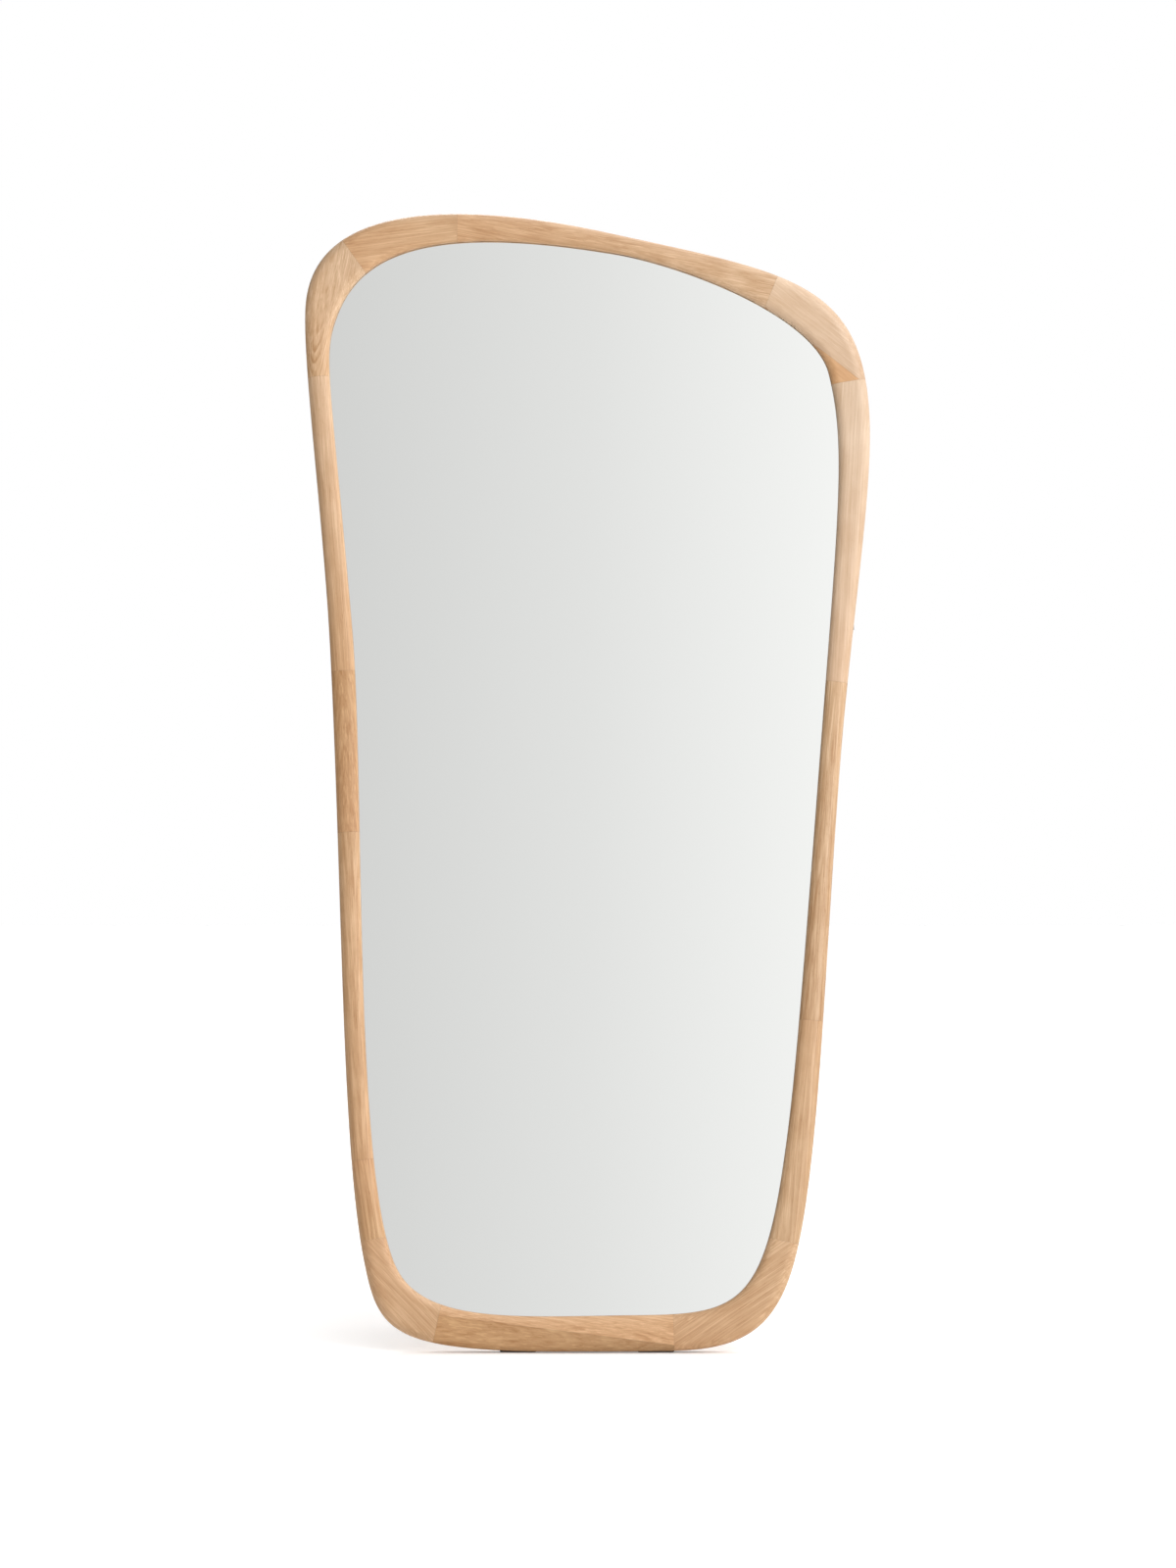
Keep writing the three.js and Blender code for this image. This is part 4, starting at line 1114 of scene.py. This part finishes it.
def bent_path(corners, radii, turn_step=4.0):
    """Straight runs between corners, each corner cut by an arc that touches both runs."""
    points = [corners[0]]
    for before, corner, after, radius in zip(corners, corners[1:], corners[2:], radii):
        arriving = (corner - before) / np.linalg.norm(corner - before)
        leaving = (after - corner) / np.linalg.norm(after - corner)
        across = arriving[0] * leaving[1] - arriving[1] * leaving[0]
        turn = math.atan2(across, arriving @ leaving)
        side = np.array([-arriving[1], arriving[0]]) * np.sign(turn)
        centre = corner - arriving * radius * math.tan(abs(turn) / 2) + side * radius
        angles = np.linspace(0, turn, max(3, round(abs(math.degrees(turn)) / turn_step) + 1))
        cosine, sine = np.cos(angles), np.sin(angles)
        spoke = side * cosine[:, None] + np.array([-side[1], side[0]]) * sine[:, None]
        points.extend(centre - radius * spoke)
    return np.array(points + [corners[-1]])


stand_corners = np.array([
    [hinge_x["left"], tube_end], [hinge_x["left"], -LEG_STRAIGHT],
    [foot_middle - FOOT_BAR / 2, -leg_length], [foot_middle + FOOT_BAR / 2, -leg_length],
    [hinge_x["right"], -LEG_STRAIGHT], [hinge_x["right"], tube_end],
])
route = bent_path(stand_corners, [KNEE_RADIUS, CORNER_RADIUS, CORNER_RADIUS, KNEE_RADIUS])
slope = np.gradient(route, axis=0)
slope[0], slope[-1] = route[1] - route[0], route[-1] - route[-2]
slope /= np.linalg.norm(slope, axis=1, keepdims=True)
beside = np.stack([-slope[:, 1], slope[:, 0]], 1)
print("tube:", round(np.linalg.norm(np.diff(route, axis=0), axis=1).sum()), "mm long")

# %% Tube
round_tube = np.arange(32) * 2 * np.pi / 32


def tube_rings(radius, rows):
    """Circles square to the route: sideways by cosine, out of the stand's plane by sine."""
    aside = radius * np.cos(round_tube)[None, :, None] * beside[rows, None]
    flat = route[rows, None] + aside
    out = np.broadcast_to(radius * np.sin(round_tube), flat.shape[:2])
    return np.stack([flat[..., 0], out, flat[..., 1]], -1)


forth = np.arange(len(route))
rings = np.concatenate([
    tube_rings(TUBE_RADIUS, forth), tube_rings(TUBE_RADIUS - TUBE_WALL, forth[::-1]),
])
tube = surface("bent_steel_tube", on_stand(rings), closed_along=True)
finish_piece(tube, powder_coat, "stand", "black_steel", "stand_tube")
print("tube:", len(tube.data.polygons), "faces")

# %% Plugs
STEM = TUBE_RADIUS - TUBE_WALL - 0.25
RIBS = (2.0, 4.4, 6.8)  # how far up the stem each rib starts
RIB_DEEP, RIB_LONG = 0.35, 0.5
stand_up = on_stand([0, 0, 1]) - on_stand([0, 0, 0])


def plug_profile():
    """From the stem's end, over its ribs and out to the flange with its rounded edge."""
    low = heel - PLUG_FLANGE - PLUG_STEM
    rows = [(low, 0.2), (low, STEM - 0.6), (low + 0.8, STEM)]
    for rib in RIBS:
        rows += [(low + rib, STEM - RIB_DEEP), (low + rib + RIB_LONG, STEM)]
    flange = heel - PLUG_FLANGE
    rows += [(flange, STEM), (flange, TUBE_RADIUS - 0.1), (heel - 0.6, TUBE_RADIUS - 0.05)]
    rows += [(heel - 0.2, TUBE_RADIUS - 0.35), (heel, TUBE_RADIUS - 1.1), (heel, 0.2)]
    return rows


for side in SIDES:
    spot = on_stand([hinge_x[side], 0, 0])
    plug = turned(f"ribbed_plug_{side}", plug_profile(), spot, stand_up)
    finish_piece(plug, black_nylon, "stand", "black_plastic", f"tube_plug_{side}", sharp_above=50)
print("plugs:", PLUG_FLANGE, "mm flanges")

# %% Sleeves
SLEEVE_RIBS, GROOVE = 11, 0.45
# The radius dips by a cosine of the place along the sleeve, once for each rib.
rib_at = np.linspace(-SLEEVE_LONG / 2, SLEEVE_LONG / 2, 121)
dip = GROOVE * (0.5 + 0.5 * np.cos(rib_at * 2 * np.pi / (SLEEVE_LONG / SLEEVE_RIBS)))
inner = TUBE_RADIUS + 0.15
rows = [(-SLEEVE_LONG / 2, inner)]
rows += list(zip(rib_at, SLEEVE_RADIUS - dip)) + [(SLEEVE_LONG / 2, inner)]
for side in SIDES:
    middle = middle_of(f"foot_sleeve_{side}")
    sleeve = turned(f"ribbed_sleeve_{side}", rows, middle, (1, 0, 0), sides=48, loop=True)
    finish_piece(sleeve, rubber, "stand", "grey_rubber", f"foot_sleeve_{side}", sharp_above=60)
print("sleeves:", SLEEVE_RIBS, "ribs each")

# %% [markdown]
# ## Pads and bumpers
#
# Two long rubber pads keep the planed underside off the floor, and two round bumpers behind
# the upper corners guard a wall when the mirror is leant flat. Both are moulded, with soft
# edges. A bumper has a dimple in its middle where its pin went in.

# %% Floor pads
PAD_LONG, PAD_WIDE, PAD_THICK = 50.0, 11.0, 2.0
PAD_EDGE = [  # up from the floor and in from the edge
    (0.0, 5.0), (0.0, 0.7), (0.12, 0.3), (0.4, 0.05), (0.7, 0.0), (1.6, 0.0), (1.88, 0.2),
    (2.0, 0.6), (2.0, 5.0),
]
# Each level is a circle cut in half and drawn apart.
angle = np.arange(64) * 2 * np.pi / 64
run = (PAD_LONG - PAD_WIDE) / 2 * np.sign(np.cos(angle) + 1e-9)
pad_levels = []
for up, inset in PAD_EDGE:
    radius = PAD_WIDE / 2 - inset
    height = np.full(len(angle), up - PAD_THICK / 2)
    pad_levels.append(np.stack([run + radius * np.cos(angle), radius * np.sin(angle), height], -1))
for side in SIDES:
    middle = middle_of(f"floor_pad_{side}")
    pad = surface(f"moulded_pad_{side}", np.array(pad_levels) * MM + middle)
    finish_piece(pad, rubber, "mirror", "grey_rubber", f"floor_pad_{side}")
print("pads:", PAD_LONG, "x", PAD_WIDE, "mm")

# %% Wall bumpers
BUMPER_RADIUS, BUMPER_THICK = 11.0, 5.0
SHOULDER_UP, DOME_IN, DIMPLE_DEEP = 2.2, 3.2, 1.2
top, floor_of_dimple = BUMPER_THICK, BUMPER_THICK - DIMPLE_DEEP
rows = [(0, 0.2), (0, BUMPER_RADIUS - 0.4), (0.4, BUMPER_RADIUS), (SHOULDER_UP, BUMPER_RADIUS)]
for b in np.linspace(0, np.pi / 2, 8)[1:]:  # a quarter ellipse
    up = SHOULDER_UP + (BUMPER_THICK - SHOULDER_UP) * np.sin(b)
    rows.append((up, BUMPER_RADIUS - DOME_IN * (1 - np.cos(b))))
rows += [(top, 2.6), (top - 0.3, 2.2), (floor_of_dimple, 2.0), (floor_of_dimple, 0.2)]
for side in SIDES:
    middle = middle_of(f"wall_bumper_{side}")
    spot = middle - to_back * BUMPER_THICK / 2 * MM
    bumper = turned(f"moulded_bumper_{side}", rows, spot, to_back, sides=56)
    finish_piece(bumper, rubber, "mirror", "grey_rubber", f"wall_bumper_{side}", sharp_above=50)
print("bumpers:", 2 * BUMPER_RADIUS, "mm across")
